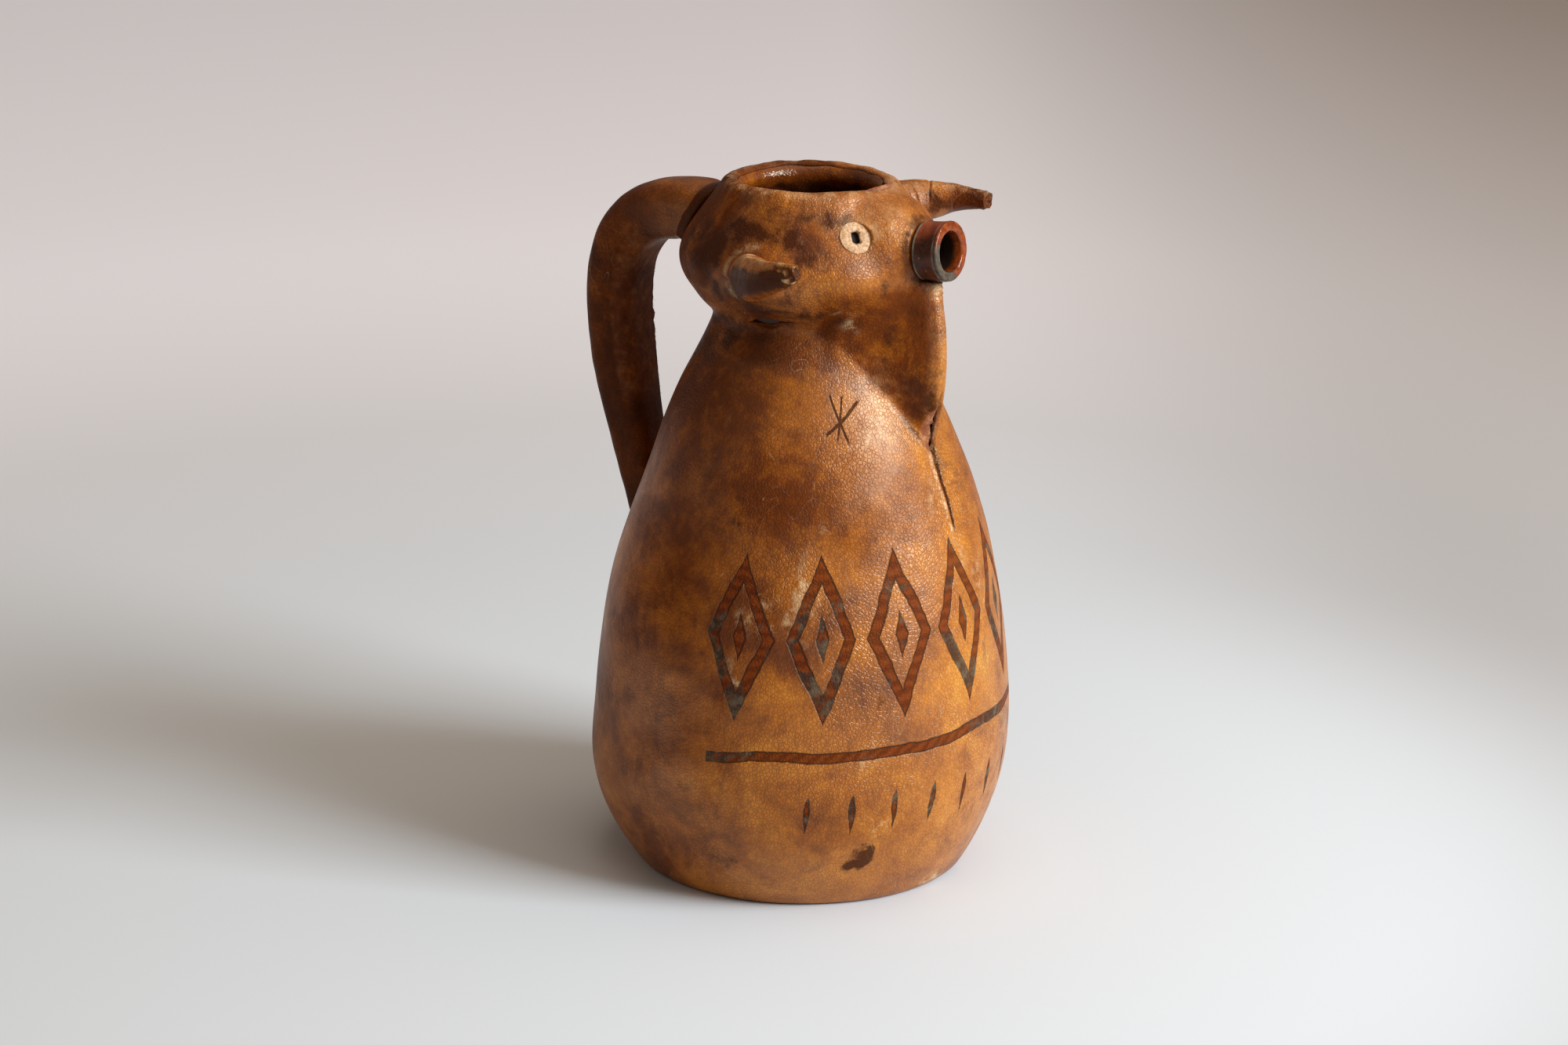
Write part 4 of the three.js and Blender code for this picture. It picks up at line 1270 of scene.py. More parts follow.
# %% Mouth strip
LINING = 1.4
LINING_OFFSET = COVER - ROLL_THINNER - 0.3
LINING_FIRST = radians(60)
LINING_FOOT = 236
LINING_ROWS = 56
roll_radius = WALL / 2 + COVER - ROLL_THINNER / 2
head_end_angle = ROLL_END - (head_path[2][-1] - end) / roll_radius
lining_points, lining_out = rim_roll(LINING_FIRST, np.pi, LINING_OFFSET, 40)
inside_wall = (clay - (WALL + LINING_OFFSET) * clay_out)[::-1]
inside_out = -clay_out[::-1]
below = (inside_wall[:, 1] > LINING_FOOT) & (inside_wall[:, 1] < lining_points[-1, 1] - 0.3)
lining_path = measured(
    np.concatenate([lining_points, inside_wall[below]]), np.concatenate([lining_out, inside_out[below]]))
lining_turn = np.linspace(0, 2 * np.pi, 321)
lining_around = signed(lining_turn)
meets_at = np.interp(lining_turn, head_turn, head_end_angle) + radians(1.5)
lining_start = (meets_at - LINING_FIRST) * (WALL / 2 + LINING_OFFSET)
lining_end = 28 + 1.5 * ring_ripple(24.0, lining_turn, 7, 11) - 8 * hump(lining_around, 0, 0.33)
run = between(lining_start, lining_end, spaced_rows(LINING_ROWS, 26, (0.0, 0.15, 0.5, 1.0)))
grid_turn = np.broadcast_to(lining_turn, run.shape)
place, out = along_path(lining_path, run, grid_turn)
wrinkle = ring_ripple(25.0, grid_turn, 4.2, 12, place[..., 2] * 0.35)
swell = ease(6, 12, run) * (0.6 * wrinkle + 0.5 * ripple(place, 7, 13) + 0.25 * ripple(place, 3, 14))
swell += 0.4 * ripple(place, 8, 9) * hump(run - lining_start, 0, 4)
lining_skin = place + out * swell[..., None]
to_end = lining_end - run
lining_shown, lining_hidden, _ = thick(lining_skin, 0.7 * cut_edge(to_end), LINING, LINING)
lining_layers = {
    # Stained a little all over, and darker deeper in the mouth and in the wrinkles: painted shade.
    "stain_and_shade": 0.2 + 0.8 * ease(6.5, 14, run) + 0.3 * np.clip(-wrinkle, 0, 1) * ease(5, 9, run),
    "raw": cut_edge(to_end, 0.8),
}
mouth_strip = leather_shell(
    "mouth_strip", lining_shown, lining_hidden, lining_hide, lining_layers, (LINING_ROWS, LINING_ROWS))

# %% [markdown]
# ## Turned pieces
# The jug, its sole, the spout, the collar and the eyes all follow one rule: an outline swept round an
# axis. A lathe tool in Geometry Nodes does this. The object's own mesh is the outline, and the inputs
# set the number of steps, the lumps left by hand, and the axis. Each outline point may also swell
# towards one side, which makes a lip uneven without a second tool.

# %% Lathe inputs
LATHE_INPUTS = (
    ("Outline", "Geometry", None), ("Turn steps", "Int", 64), ("Lump height", "Float", 0.0),
    ("Lump size", "Float", 0.01), ("Seed", "Float", 0.0), ("Swell side", "Float", 0.0),
    ("Swell lobes", "Float", 1.0), ("Lean", "Float", 0.0), ("Turn", "Float", 0.0),
    ("Origin", "Vector", None), ("Material", "Material", None),
)


def node_tool(name, inputs, result):
    """A Geometry Nodes tree with named inputs and one result, and the terms that bring the inputs in."""
    tree = bpy.data.node_groups.new(name, "GeometryNodeTree")
    for label, kind, default in inputs:
        made = tree.interface.new_socket(name=label, in_out="INPUT", socket_type="NodeSocket" + kind)
        if default is not None:
            made.default_value = default
    tree.interface.new_socket(name=result, in_out="OUTPUT", socket_type="NodeSocketGeometry")
    given = put(tree, "NodeGroupInput").outputs
    return tree, {label: Term(given[label]) for label, kind, default in inputs}


print("lathe takes", len(LATHE_INPUTS), "inputs")

# %% [markdown]
# The tree bends a flat grid: one way along it is the turn, the other way is the outline. It stores the
# height, the side and the share of the outline, which the finishes read later.

# %% Lathe tool
def lathe_tool():
    tree, given = node_tool("lathe", LATHE_INPUTS, "Piece")

    def scaled(vector, factor):
        return wire(tree, "ShaderNodeVectorMath", {0: vector, 3: factor}, operation="SCALE")

    def from_outline(value, index, kind):
        inputs = {0: given["Outline"], 1: value, 2: index}
        return wire(tree, "GeometryNodeSampleIndex", inputs, data_type=kind, domain="POINT")

    outline = {0: given["Outline"]}
    count = wire(tree, "GeometryNodeAttributeDomainSize", outline, "Point Count", component="MESH")
    grid = {"Size X": 1.0, "Size Y": 1.0, "Vertices X": given["Turn steps"] + 1, "Vertices Y": count}
    shape = wire(tree, "GeometryNodeMeshGrid", grid, "Mesh")
    position = wire(tree, "GeometryNodeInputPosition")
    across, upward, _ = parts(tree, position)
    angle = (across + 0.5) * (2 * math.pi)
    last = count - 1
    index = reckon("ROUND", (upward + 0.5) * last)
    swell_layer = wire(tree, "GeometryNodeInputNamedAttribute", {0: "swell"}, data_type="FLOAT")
    swell = from_outline(swell_layer, index, "FLOAT")
    radius, _, level = parts(tree, from_outline(position, index, "FLOAT_VECTOR"))
    towards = reckon("COSINE", (angle - given["Swell side"]) * given["Swell lobes"])
    wide = radius + swell * (0.5 * towards + 0.5)
    place = wire(tree, "ShaderNodeCombineXYZ", {
        0: wide * reckon("COSINE", angle), 1: wide * reckon("SINE", angle), 2: level})
    for name, value in (("height", level), ("around", towards), ("share", index / last)):
        inputs = {"Geometry": shape, "Name": name, "Value": value}
        shape = wire(tree, "GeometryNodeStoreNamedAttribute", inputs, data_type="FLOAT", domain="POINT")
    shape = wire(tree, "GeometryNodeSetPosition", {"Geometry": shape, "Position": place})
    shape = wire(tree, "GeometryNodeMergeByDistance", {"Geometry": shape, "Distance": 1e-6})
    lump_place = scaled(position, 1.0 / given["Lump size"])
    lump = wire(tree, "ShaderNodeTexNoise", {
        "Vector": lump_place, "W": given["Seed"], "Scale": 1.0, "Detail": 2.0}, noise_dimensions="4D")
    offset = scaled(wire(tree, "GeometryNodeInputNormal"), (lump - 0.5) * given["Lump height"])
    shape = wire(tree, "GeometryNodeSetPosition", {"Geometry": shape, "Offset": offset})
    rotation = wire(tree, "ShaderNodeCombineXYZ", {0: 0.0, 1: given["Lean"], 2: given["Turn"]})
    shape = wire(tree, "GeometryNodeTransform", {
        "Geometry": shape, "Translation": given["Origin"], "Rotation": rotation})
    shape = wire(tree, "GeometryNodeSetShadeSmooth", {0: shape})
    shape = wire(tree, "GeometryNodeRealizeInstances", {0: shape})
    shape = wire(tree, "GeometryNodeSetMaterial", {"Geometry": shape, "Material": given["Material"]})
    put(tree, "NodeGroupOutput", {0: shape})
    return tree


lathe = lathe_tool()
print("lathe has", len(lathe.nodes), "nodes")

# %% [markdown]
# A node tool works on a line of points that carries one stored layer. The finished piece is turned into a
# plain mesh at once, so that later steps don't depend on the tool.

# %% Pieces from a line
def shaped_by(tool, name, points, edges, layer, values, inputs):
    mesh = bpy.data.meshes.new(name)
    mesh.from_pydata((np.array(points) * MM).tolist(), edges, [])
    kind, field = ("FLOAT", "value") if np.ndim(values) == 1 else ("FLOAT_VECTOR", "vector")
    stored = mesh.attributes.new(layer, kind, "POINT")
    stored.data.foreach_set(field, np.ravel(values).astype(np.float32))
    piece = bpy.data.objects.new(name, mesh)
    modifier = piece.modifiers.new(tool.name, "NODES")
    modifier.node_group = tool
    sockets = {item.name: item.identifier for item in tool.interface.items_tree if item.in_out == "INPUT"}
    for key, value in inputs.items():
        modifier[sockets[key.replace("_", " ")]] = value
    scene.collection.objects.link(piece)
    plain_mesh(piece)
    print(name, "has", len(piece.data.polygons), "faces")
    return piece


def turn_piece(name, outline, material, swell=None, **inputs):
    outline = np.array(outline, float)
    points = np.stack([outline[:, 0], 0 * outline[:, 0], outline[:, 1]], axis=1)
    edges = [(i, i + 1) for i in range(len(points) - 1)]
    values = np.zeros(len(points)) if swell is None else np.array(swell, float) * MM
    inputs = {"Material": material, "Swell_lobes": 1.0, **inputs}
    return shaped_by(lathe, name, points, edges, "swell", values, inputs)


def rounded_corner(centre, radius, start, end, steps=6):
    angle = np.radians(np.linspace(start, end, steps))
    return np.stack([centre[0] + radius * np.cos(angle), centre[1] + radius * np.sin(angle)], axis=1)


print("outlines can be turned now")

# %% [markdown]
# ## Clay and glaze
# The clay shows only inside the mouth and at the end of the spout, where a red-orange glaze has run
# over the lip. The glaze is thicker and darker in the hollows, so its colour follows a soft cloud, and
# it is the one glossy surface of the object.

# %% Glaze and jug
JUG_FLOOR = JUG_FOOT + WALL
JUG_CORNER = 6
inside_clay = (clay - WALL * clay_out)[::-1]
inside_clay = inside_clay[inside_clay[:, 1] > JUG_FLOOR + 3]
jug_rim, _ = rim_roll(0, np.pi, 0, 12)
jug_outside = np.concatenate([[(0, JUG_FOOT)], clay[::6], [clay[-1]], jug_rim[1:6]])
jug_corner = (inside_clay[-1][0] - JUG_CORNER, JUG_FLOOR + JUG_CORNER)
jug_outline = np.concatenate([
    jug_outside, jug_rim[6:-1], inside_clay[::6],
    rounded_corner(jug_corner, JUG_CORNER, 0, -90), [(0, JUG_FLOOR)],
])
glaze_from = len(jug_outside) / (len(jug_outline) - 1)

red_glaze = Finish("red_glaze", Specular_IOR_Level=0.5)
pool = red_glaze.cloud(9, 5, 0.6, 0.6)
colour = red_glaze.ramp(
    pool, (0.30, (0.08, 0.015, 0.005)), (0.48, (0.25, 0.045, 0.010)), (0.66, (0.40, 0.095, 0.02)))
speck = red_glaze.step(red_glaze.pebbles(1.1, "F1", 2.0), 0.10, 0.16, 0.7, 0.0)
colour = red_glaze.tint(speck, colour, (0.06, 0.02, 0.012, 1))
glazed = red_glaze.step(red_glaze.layer("share"), glaze_from - 0.01, glaze_from + 0.01)
red_glaze.drive("Base Color", red_glaze.tint(glazed, (0.05, 0.022, 0.012, 1), colour))
red_glaze.drive("Roughness", red_glaze.step(glazed, 0.0, 1.0, 0.85, 0.14))
red_glaze.drive("Normal", red_glaze.relief(red_glaze.cloud(5, 3, 0.5, shift=4.0), 0.25))
glazed_jug = turn_piece("glazed_jug", jug_outline, red_glaze.material, Turn_steps=96)

# %% [markdown]
# ## Spout
# The clay tube sticks out of the snout. Its lip is thin, flares a little and lies over the front of the
# dark collar, most of all at the upper right, and the lathe's swell layer gives that unevenness. On the
# lower side the glaze of the lip is worn down to grey clay.

# %% Spout
BORE = 6.3
FLARE = 7.6
TUBE_BACK = 47.0
TIP = 62.2
LIP_SIDE = radians(130)
spout_frame = {"Lean": math.pi / 2 - SPOUT_TILT, "Origin": tuple(spout_start * MM), "Swell_side": LIP_SIDE}
tube_outline = np.concatenate([
    [(TUBE_RADIUS, TUBE_BACK), (TUBE_RADIUS, 55), (TUBE_RADIUS, TIP - 1.4)],
    rounded_corner((TUBE_RADIUS + 1.8, TIP - 0.8), 0.8, -70, 90, 9),
    rounded_corner((FLARE + 0.9, TIP - 0.9), 0.9, 90, 180, 9),
    [(FLARE - 0.5, TIP - 3), (BORE, TIP - 7), (BORE, 52), (BORE, TUBE_BACK), (TUBE_RADIUS, TUBE_BACK)],
])
tube_swell = np.zeros(len(tube_outline))
tube_swell[3:12] = 0.5
lip = Finish("glaze_lip", Roughness=0.13, Specular_IOR_Level=0.4)
pool = lip.cloud(3.2, 5, 0.6, 0.5)
lip_height = lip.layer("height")
colour = lip.ramp(
    pool, (0.30, (0.085, 0.014, 0.003)), (0.5, (0.20, 0.034, 0.006)), (0.7, (0.33, 0.072, 0.012)))
# Deep in the bore the glaze is painted near black: painted shade.
in_bore = lip.step(lip_height, (TIP - 4.2) * MM, (TIP - 1.5) * MM)
colour = lip.tint(in_bore, (0.016, 0.008, 0.005, 1), colour)
turned_to = lip.layer("around") + 1.2 * lip.wave(5, 3, shift=3.0)
on_lip = lip.step(lip_height, (TIP - 1.4) * MM, (TIP - 0.9) * MM)
second_tone = lip.step(turned_to, -0.25, -0.6) * on_lip
grey = lip.ramp(
    lip.cloud(1.8, 4, 0.6, shift=5.0), (0.35, (0.040, 0.028, 0.016)), (0.62, (0.105, 0.077, 0.047)))
lip.drive("Base Color", lip.tint(second_tone, colour, grey))
lip.drive("Roughness", lip.step(second_tone, 0.0, 1.0, 0.08, 0.6))
lip.drive("Normal", lip.relief(lip.cloud(2.6, 3, 0.5, shift=4.0), 0.2))
spout_tube = turn_piece("spout_tube_glazed", tube_outline, lip.material, tube_swell, Turn_steps=96,
                        Lump_height=0.4 * MM, Lump_size=3.5 * MM, Seed=3.0, **spout_frame)

# %% [markdown]
# The collar round the tube is a ring of blackened hide. Its upper side is red, the edges at its back and
# lower front are worn grey, and a few pale flecks are left on the side.

# %% Collar
collar = Finish("dark_collar", Specular_IOR_Level=0.28)
patch = collar.cloud(9, 6, 0.62, 0.4)
streak = collar.cloud(3, 4, 0.6, stretch=(4, 1, 1), shift=2.0)
collar_height = collar.layer("height")
dark = collar.ramp(
    patch, (0.38, (0.014, 0.007, 0.004)), (0.50, (0.042, 0.014, 0.007)), (0.64, (0.095, 0.027, 0.011)))
red = collar.ramp(
    patch, (0.36, (0.10, 0.018, 0.007)), (0.52, (0.22, 0.042, 0.012)), (0.68, (0.33, 0.08, 0.02)))
turned_to = collar.layer("around") + 0.9 * (streak - 0.5)
colour = collar.tint(collar.step(turned_to, -0.45, 0.15), dark, red)
back = collar.step(collar_height, (COLLAR_BACK + 1.15) * MM, (COLLAR_BACK + 0.75) * MM)
front_edge = collar.step(collar_height, (TIP - 2.0) * MM, (TIP - 1.5) * MM)
front_edge = front_edge * collar.step(turned_to, -0.1, -0.5)
edge = most(back, front_edge) * collar.step(streak, 0.30, 0.50, 0.45, 0.95)
grey = collar.ramp(streak, (0.35, (0.09, 0.075, 0.056)), (0.65, (0.24, 0.20, 0.155)))
colour = collar.tint(edge, colour, grey)
fleck = collar.step(collar.pebbles(1.5, "F1", 6.0), 0.13, 0.17, 0.8, 0.0)
fleck = fleck * collar.step(collar.cloud(5, 2, shift=8.0), 0.60, 0.66)
collar.drive("Base Color", collar.tint(fleck, colour, (0.42, 0.32, 0.2, 1)))
collar.drive("Roughness", 0.3 * edge + collar.step(patch, 0.3, 0.7, 0.42, 0.28))
collar.drive("Normal", collar.relief(collar.cloud(2.2, 5, 0.6, shift=5.0), 0.16))
COLLAR_TIP = TIP - 1.2
collar_inner = TUBE_RADIUS + GAP
collar_outline = np.concatenate([
    [(collar_inner, COLLAR_BACK)],
    rounded_corner((COLLAR_RADIUS - 0.5, COLLAR_BACK + 0.5), 0.5, -90, 0),
    [(COLLAR_RADIUS - 0.05, COLLAR_BACK + 1.0), (COLLAR_RADIUS - 0.3, COLLAR_BACK + 1.4),
     (COLLAR_RADIUS - 0.25, COLLAR_BACK + 4.5), (COLLAR_RADIUS - 0.1, COLLAR_TIP - 2.0)],
    rounded_corner((COLLAR_RADIUS - 1.2, COLLAR_TIP - 1.2), 1.2, 0, 90),
    [(collar_inner + 0.6, COLLAR_TIP), (collar_inner, COLLAR_TIP - 0.5), (collar_inner, COLLAR_BACK + 4),
     (collar_inner, COLLAR_BACK)],
])
spout_collar = turn_piece("spout_collar_hide", collar_outline, collar.material, Turn_steps=96,
                          Lump_height=0.45 * MM, Lump_size=6 * MM, Seed=7.0, **spout_frame)

# %% [markdown]
# ## Eyes
# Each eye is a disc of pale, raw hide let into the head, with a roughly punched pupil. The lathe makes
# it too: the outline is dished in the middle, and the pupil's edge swells to one side so that the hole
# isn't quite round.

# %% Eyes
pale = Finish("pale_hide", Roughness=0.75, Specular_IOR_Level=0.3)
fleck = pale.cloud(1.1, 6, 0.65)
colour = pale.ramp(
    fleck, (0.30, (0.33, 0.155, 0.07)), (0.48, (0.57, 0.345, 0.185)), (0.66, (0.74, 0.52, 0.33)))
rub = pale.step(pale.cloud(4, 4, 0.6, shift=2.0), 0.50, 0.68, 0.0, 0.6)
colour = pale.tint(rub, colour, (0.44, 0.20, 0.06, 1))
hollow = pale.step(pale.layer("height"), 2.75 * MM, 2.2 * MM)
pale.drive("Base Color", pale.tint(hollow, colour, (0.022, 0.014, 0.010, 1)))
pale.drive("Normal", pale.relief(fleck, 0.35))

PUPIL = 1.5
disc = EYE_RADIUS - 0.06
eye_outline = np.concatenate([
    [(0, 0.3), (disc, 0.3), (disc, 2.7)],
    rounded_corner((disc, 2.95), 0.28, -60, 80),
    [(disc - 1.0, 3.36), (disc - 2.0, 3.40), (3.2, 3.30), (PUPIL + 0.8, 3.15)],
    rounded_corner((PUPIL + 0.4, 2.7), 0.4, 90, 180, 5), [(PUPIL, 1.9), (PUPIL - 0.1, 1.3), (0, 1.2)],
])
eye_swell = np.zeros(len(eye_outline))
eye_swell[-8:-1] = 1.1
SIDES = (("left", 1), ("right", -1))
eyes = {}
for word, side in SIDES:
    centre, normal = eye_axis(side)
    eyes[word] = turn_piece(
        f"eye_{word}_disc", eye_outline, pale.material, eye_swell, Turn_steps=72, Lump_height=0.45 * MM,
        Lump_size=1.6 * MM, Seed=11.0 + side, Swell_side=0.0, Swell_lobes=2.0, Lean=math.acos(normal[2]),
        Turn=math.atan2(normal[1], normal[0]), Origin=tuple(centre * MM))

# %% [markdown]
# ## Sole
# A disc of dark hide closes the bottom and is what the jug stands on. Only its rim can be seen.

# %% Sole
SOLE_RADIUS = 61.3
sole_outline = np.concatenate([
    [(0, 0), (SOLE_RADIUS - 1.2, 0)], rounded_corner((SOLE_RADIUS - 0.9, 0.9), 0.9, -90, 0),
    rounded_corner((SOLE_RADIUS - 0.5, 2.1), 0.5, 0, 90), [(0, 2.6)],
])
sole_hide = turn_piece("sole_hide", sole_outline, brown_hide, Turn_steps=120)

# %% [markdown]
# ## Handle
# The clay handle is wrapped in one strip of hide whose raw edges meet on the inner side of the loop.
# The strip's section is a rounded rectangle carried along the handle's line. Both ends are trimmed to
# the surfaces they meet, column by column, and the upper end stands off the head a little.

# %% Handle line
GRIP = (-88.2, 207.9)
HANDLE_DEPTH = 11
HANDLE_WIDTH = 12.5
HANDLE_POWER = 2 / 3.1
TOP_HEIGHT = 249.6
FOOT_HEIGHT = 111.9
FOOT_LEAN = radians(20)
upper_edge, _ = clay_place(TOP_HEIGHT + HANDLE_DEPTH + 1.2)
handle_top = (-upper_edge[0] + WALL, TOP_HEIGHT - 5)
foot_point, _ = clay_place(FOOT_HEIGHT)
handle_foot = np.array([-foot_point[0] + 5, FOOT_HEIGHT])
foot_up = handle_foot + 31 * np.array([-math.sin(FOOT_LEAN), math.cos(FOOT_LEAN)]) + np.array([0.8, 0])
handle_line = np.concatenate([
    cubic(handle_top, (handle_top[0] - 50, 256.0), (GRIP[0], GRIP[1] + 27), GRIP, 300),
    cubic(GRIP, (GRIP[0], GRIP[1] - 22), foot_up, handle_foot, 300)[1:],
])
handle_length = running_length(handle_line)
handle_tangent = unit(np.gradient(handle_line, axis=0))


def handle_surface(distance, phi, grow=0.0):
    """Points of the wrap: phi 0 is the inner side of the loop, and grow moves out from it."""
    share = distance / handle_length[-1]
    centre = row_at(distance, handle_length, handle_line)
    tangent = row_at(distance, handle_length, handle_tangent)
    swell = 1.2 - 3.2 * share - 1.3 * ease(0.60, 0.85, share) + grow
    depth = (HANDLE_DEPTH + swell) * np.sign(np.cos(phi)) * np.abs(np.cos(phi)) ** HANDLE_POWER
    width = (HANDLE_WIDTH + swell) * np.sign(np.sin(phi)) * np.abs(np.sin(phi)) ** HANDLE_POWER
    inner_x, inner_z = -tangent[1], tangent[0]
    return np.stack([centre[0] + depth * inner_x, width, centre[1] + depth * inner_z], axis=-1)


SEAM_PHI = radians(38)
HANDLE_ROWS = 240
wrap = np.linspace(0, 2 * np.pi, 145)
probe = np.linspace(0, handle_length[-1], 900)[:, None]
probe_points = handle_surface(probe + 0 * wrap, SEAM_PHI - wrap + 0 * probe)
clear = np.hypot(probe_points[..., 0], probe_points[..., 1]) - leather_radius(probe_points[..., 2]) > 0.4
half = len(probe) // 2
first = probe[half - np.argmin(clear[half::-1], axis=0) + 1, 0]
last = probe[half + np.argmin(clear[half:], axis=0) - 1, 0]
last = np.where(clear[half:].all(axis=0), handle_length[-1], last)
travel = between(first, last, spaced_rows(HANDLE_ROWS, 190))
print("handle", round(handle_length[-1], 1), "mm long, wrapped from", first.min().round(1),
      "to", last.max().round(1))

# %% [markdown]
# The wrap is a little lumpy, its two raw edges stand up where they meet, and it lifts off the head at the
# upper end. Its colour goes from brown at the top to nearly black bands further down. The lighter top of
# the loop is a painted highlight, and both ends are darkened as painted shade where the wrap meets the jug.

# %% Handle hide
seam_wave = ripple(np.stack([travel[:, 0], 0 * travel[:, 0], 0 * travel[:, 0]], axis=-1), 9, 15)
seam_gap = (0.016 + 0.012 * np.abs(seam_wave))[:, None]
column = wrap + seam_gap * (1 - wrap / np.pi)
handle_phi = SEAM_PHI - column
plain = handle_surface(travel, handle_phi)
from_seam = np.minimum(column, 2 * np.pi - column) * HANDLE_DEPTH
frayed = hump(travel, 96, 17)
grow = 0.3 * hump(from_seam, 0, 2.2)
grow += frayed * hump(from_seam, 0, 1.3) * (0.55 + 0.8 * ripple(plain, 2.2, 16))
grow += 0.5 * ripple(plain, 24, 17) + 0.22 * ripple(plain, 8, 18)
from_head = travel - first
grow += 0.9 * hump(from_head, 0, 3.0) - 0.7 * hump(from_head, 6.5, 2.0)
creases = ripple(np.stack([travel * 0.9, handle_phi * 4, 0 * travel], axis=-1), 7, 19)
grow -= 0.4 * np.clip(creases, 0, 1) * ease(150, 185, travel)
handle_skin = handle_surface(travel, handle_phi, grow)
to_foot = last - travel
edge = strongest(
    cut_edge(from_head), cut_edge(to_foot),
    0.6 * cut_edge(np.minimum(wrap, 2 * np.pi - wrap) * HANDLE_DEPTH, 1.0),
)
handle_shown, handle_hidden, handle_out = thick(handle_skin, edge, 0.7 * HIDE, 2.5)

BANDS = ((74, 9, 0.8), (128, 8, 0.7), (170, 9, 0.9), (100, 9, 0.6), (40, 7, 0.55), (150, 6, 0.5))
bands = sum(strength * hump(travel, middle, half) for middle, half, strength in BANDS)
inner_face = ease(-0.15, 0.35, np.cos(handle_phi)) * ease(30, 50, travel) * ease(150, 120, travel)
handle_layers = {
    "stain_and_shade": strongest(
        np.clip(0.35 + 0.45 * bands, 0, 1) * ease(20, 52, travel),
        # Both ends are darkened: painted shade where the wrap meets the head and the body.
        1.2 * ease(6.5, 4.0, from_head),
        0.9 * hump(to_foot, 0, 4),
    ),
    # Browner below the top, which leaves the top of the loop lighter: a painted highlight.
    "tan": 0.9 * ease(18, 62, travel),
    "raw": strongest(
        cut_edge(from_seam, 0.9) * (0.3 + 0.7 * frayed),
        0.5 * cut_edge(from_head, 0.7),
        0.5 * inner_face,
    ),
}
handle_hide = leather_shell(
    "handle_hide", handle_shown, handle_hidden, brown_hide, handle_layers, (-1, HANDLE_ROWS + 10))

# %% [markdown]
# ## Horns
# Each horn is hide rolled over a wooden peg and cut off bluntly at the tip. Its rings start at the inner
# end of the bore, come out round the root, which is spread on to the head, and run on to the tip, so the
# mesh is one closed skin.

# %% Horn shape
HORN_COLUMNS = 96
HORN_KNOTS = (0, 0.15, 0.3, 0.5, 0.7, 0.85, 0.95, 1)
HORN_SIZES = {
    1: ((11.5, 11.2, 10.2, 8.2, 6.0, 4.5, 3.8, 3.4), (10, 9.2, 8.2, 6.9, 5.5, 4.4, 3.8, 3.4)),
    -1: ((8.4, 8.2, 8.0, 7.6, 6.4, 5.0, 3.8, 2.6), (9.5, 8.8, 7.8, 6.3, 4.9, 3.9, 3.1, 2.3)),
}
HORN_LINES = {
    1: ((0.28, 0.035, 0.5), (0.36, 0.05, 0.7), (0.50, -0.03, 0.8), (0.56, 0.12, 0.4), (0.80, -0.09, 0.6)),
    -1: ((0.22, 0.05, 0.5), (0.42, -0.08, 0.5)),
}
horn_phi = np.linspace(0, 2 * np.pi, HORN_COLUMNS + 1)


def horn_rings(side, share, half_height, half_depth, bowed=True):
    """Oval rings round the horn's line. The angle starts at the top and turns towards the camera's side."""
    centre = horn_line(side, share, bowed)
    along = unit(horn_line(side, share + 0.002, bowed) - horn_line(side, share - 0.002, bowed))
    high = unit(np.array([0, 0, 1.0]) - along * along[:, 2:])
    deep = np.cross(along, high)
    rise = (np.cos(horn_phi) * half_height)[..., None] * high[:, None, :]
    return centre[:, None, :] + rise + (np.sin(horn_phi) * half_depth)[..., None] * deep[:, None, :]


def horn_relief(side, share, skin):
    """How far the skin stands out, how deep its creases are, and how hollow its dark face is."""
    s, phi = share[:, None], horn_phi
    swell = 0.35 * ripple(skin, 9, 30 + side) + 0.18 * ripple(skin, 3.5, 33 + side)
    swell += 0.7 * ease(0.88, 1.0, s) * ripple(skin, 1.6, 36 + side)
    if side > 0:
        hollow = hump(signed(phi - radians(150)), 0, 0.8) * ease(0.1, 0.35, s) * ease(0.98, 0.8, s)
        swell = swell - 0.9 * hollow
    else:
        hollow = hump(signed(phi - radians(98)), 0, 0.80) * ease(0.08, 0.3, s) * ease(1.0, 0.86, s)
        hollow = hollow * ease(radians(27), radians(52), np.abs(signed(phi)))
        swell = swell - 0.26 * np.interp(s, HORN_KNOTS, HORN_SIZES[side][1]) * hollow
        ridge = 0.6 * hump(signed(phi - radians(14)), 0, 0.25)
        swell += ridge * ease(0.1, 0.25, s) * ease(0.98, 0.8, s)
    creases = np.zeros(skin.shape[:2])
    broken = ease(-0.35, 0.25, ripple(skin, 6, 48 + side))
    shown_side = ease(-0.5, 0.4, np.sin(phi + 0.4))
    for place, slant, depth in HORN_LINES[side]:
        off = s - place - slant * np.sin(phi - 1.2) - 0.01 * np.sin(3 * phi)
        creases = np.maximum(creases, depth * broken * hump(off, 0, 0.009) * shown_side)
    return swell - 0.7 * creases, creases, hollow


print("horn rings of", HORN_COLUMNS, "steps")

# %% [markdown]
# The two horns differ, as the two sides of a handmade thing do: the near one is flat and hollow on the
# side that faces us, with a ridge on top, and the far one is a round cone with deep creases. On both the
# creases and the hollow are darkened as painted shade, and the near one's hollow also as a stain. Both
# tops are paler, as wear and a painted highlight, and the near horn is darker underneath: painted shade.

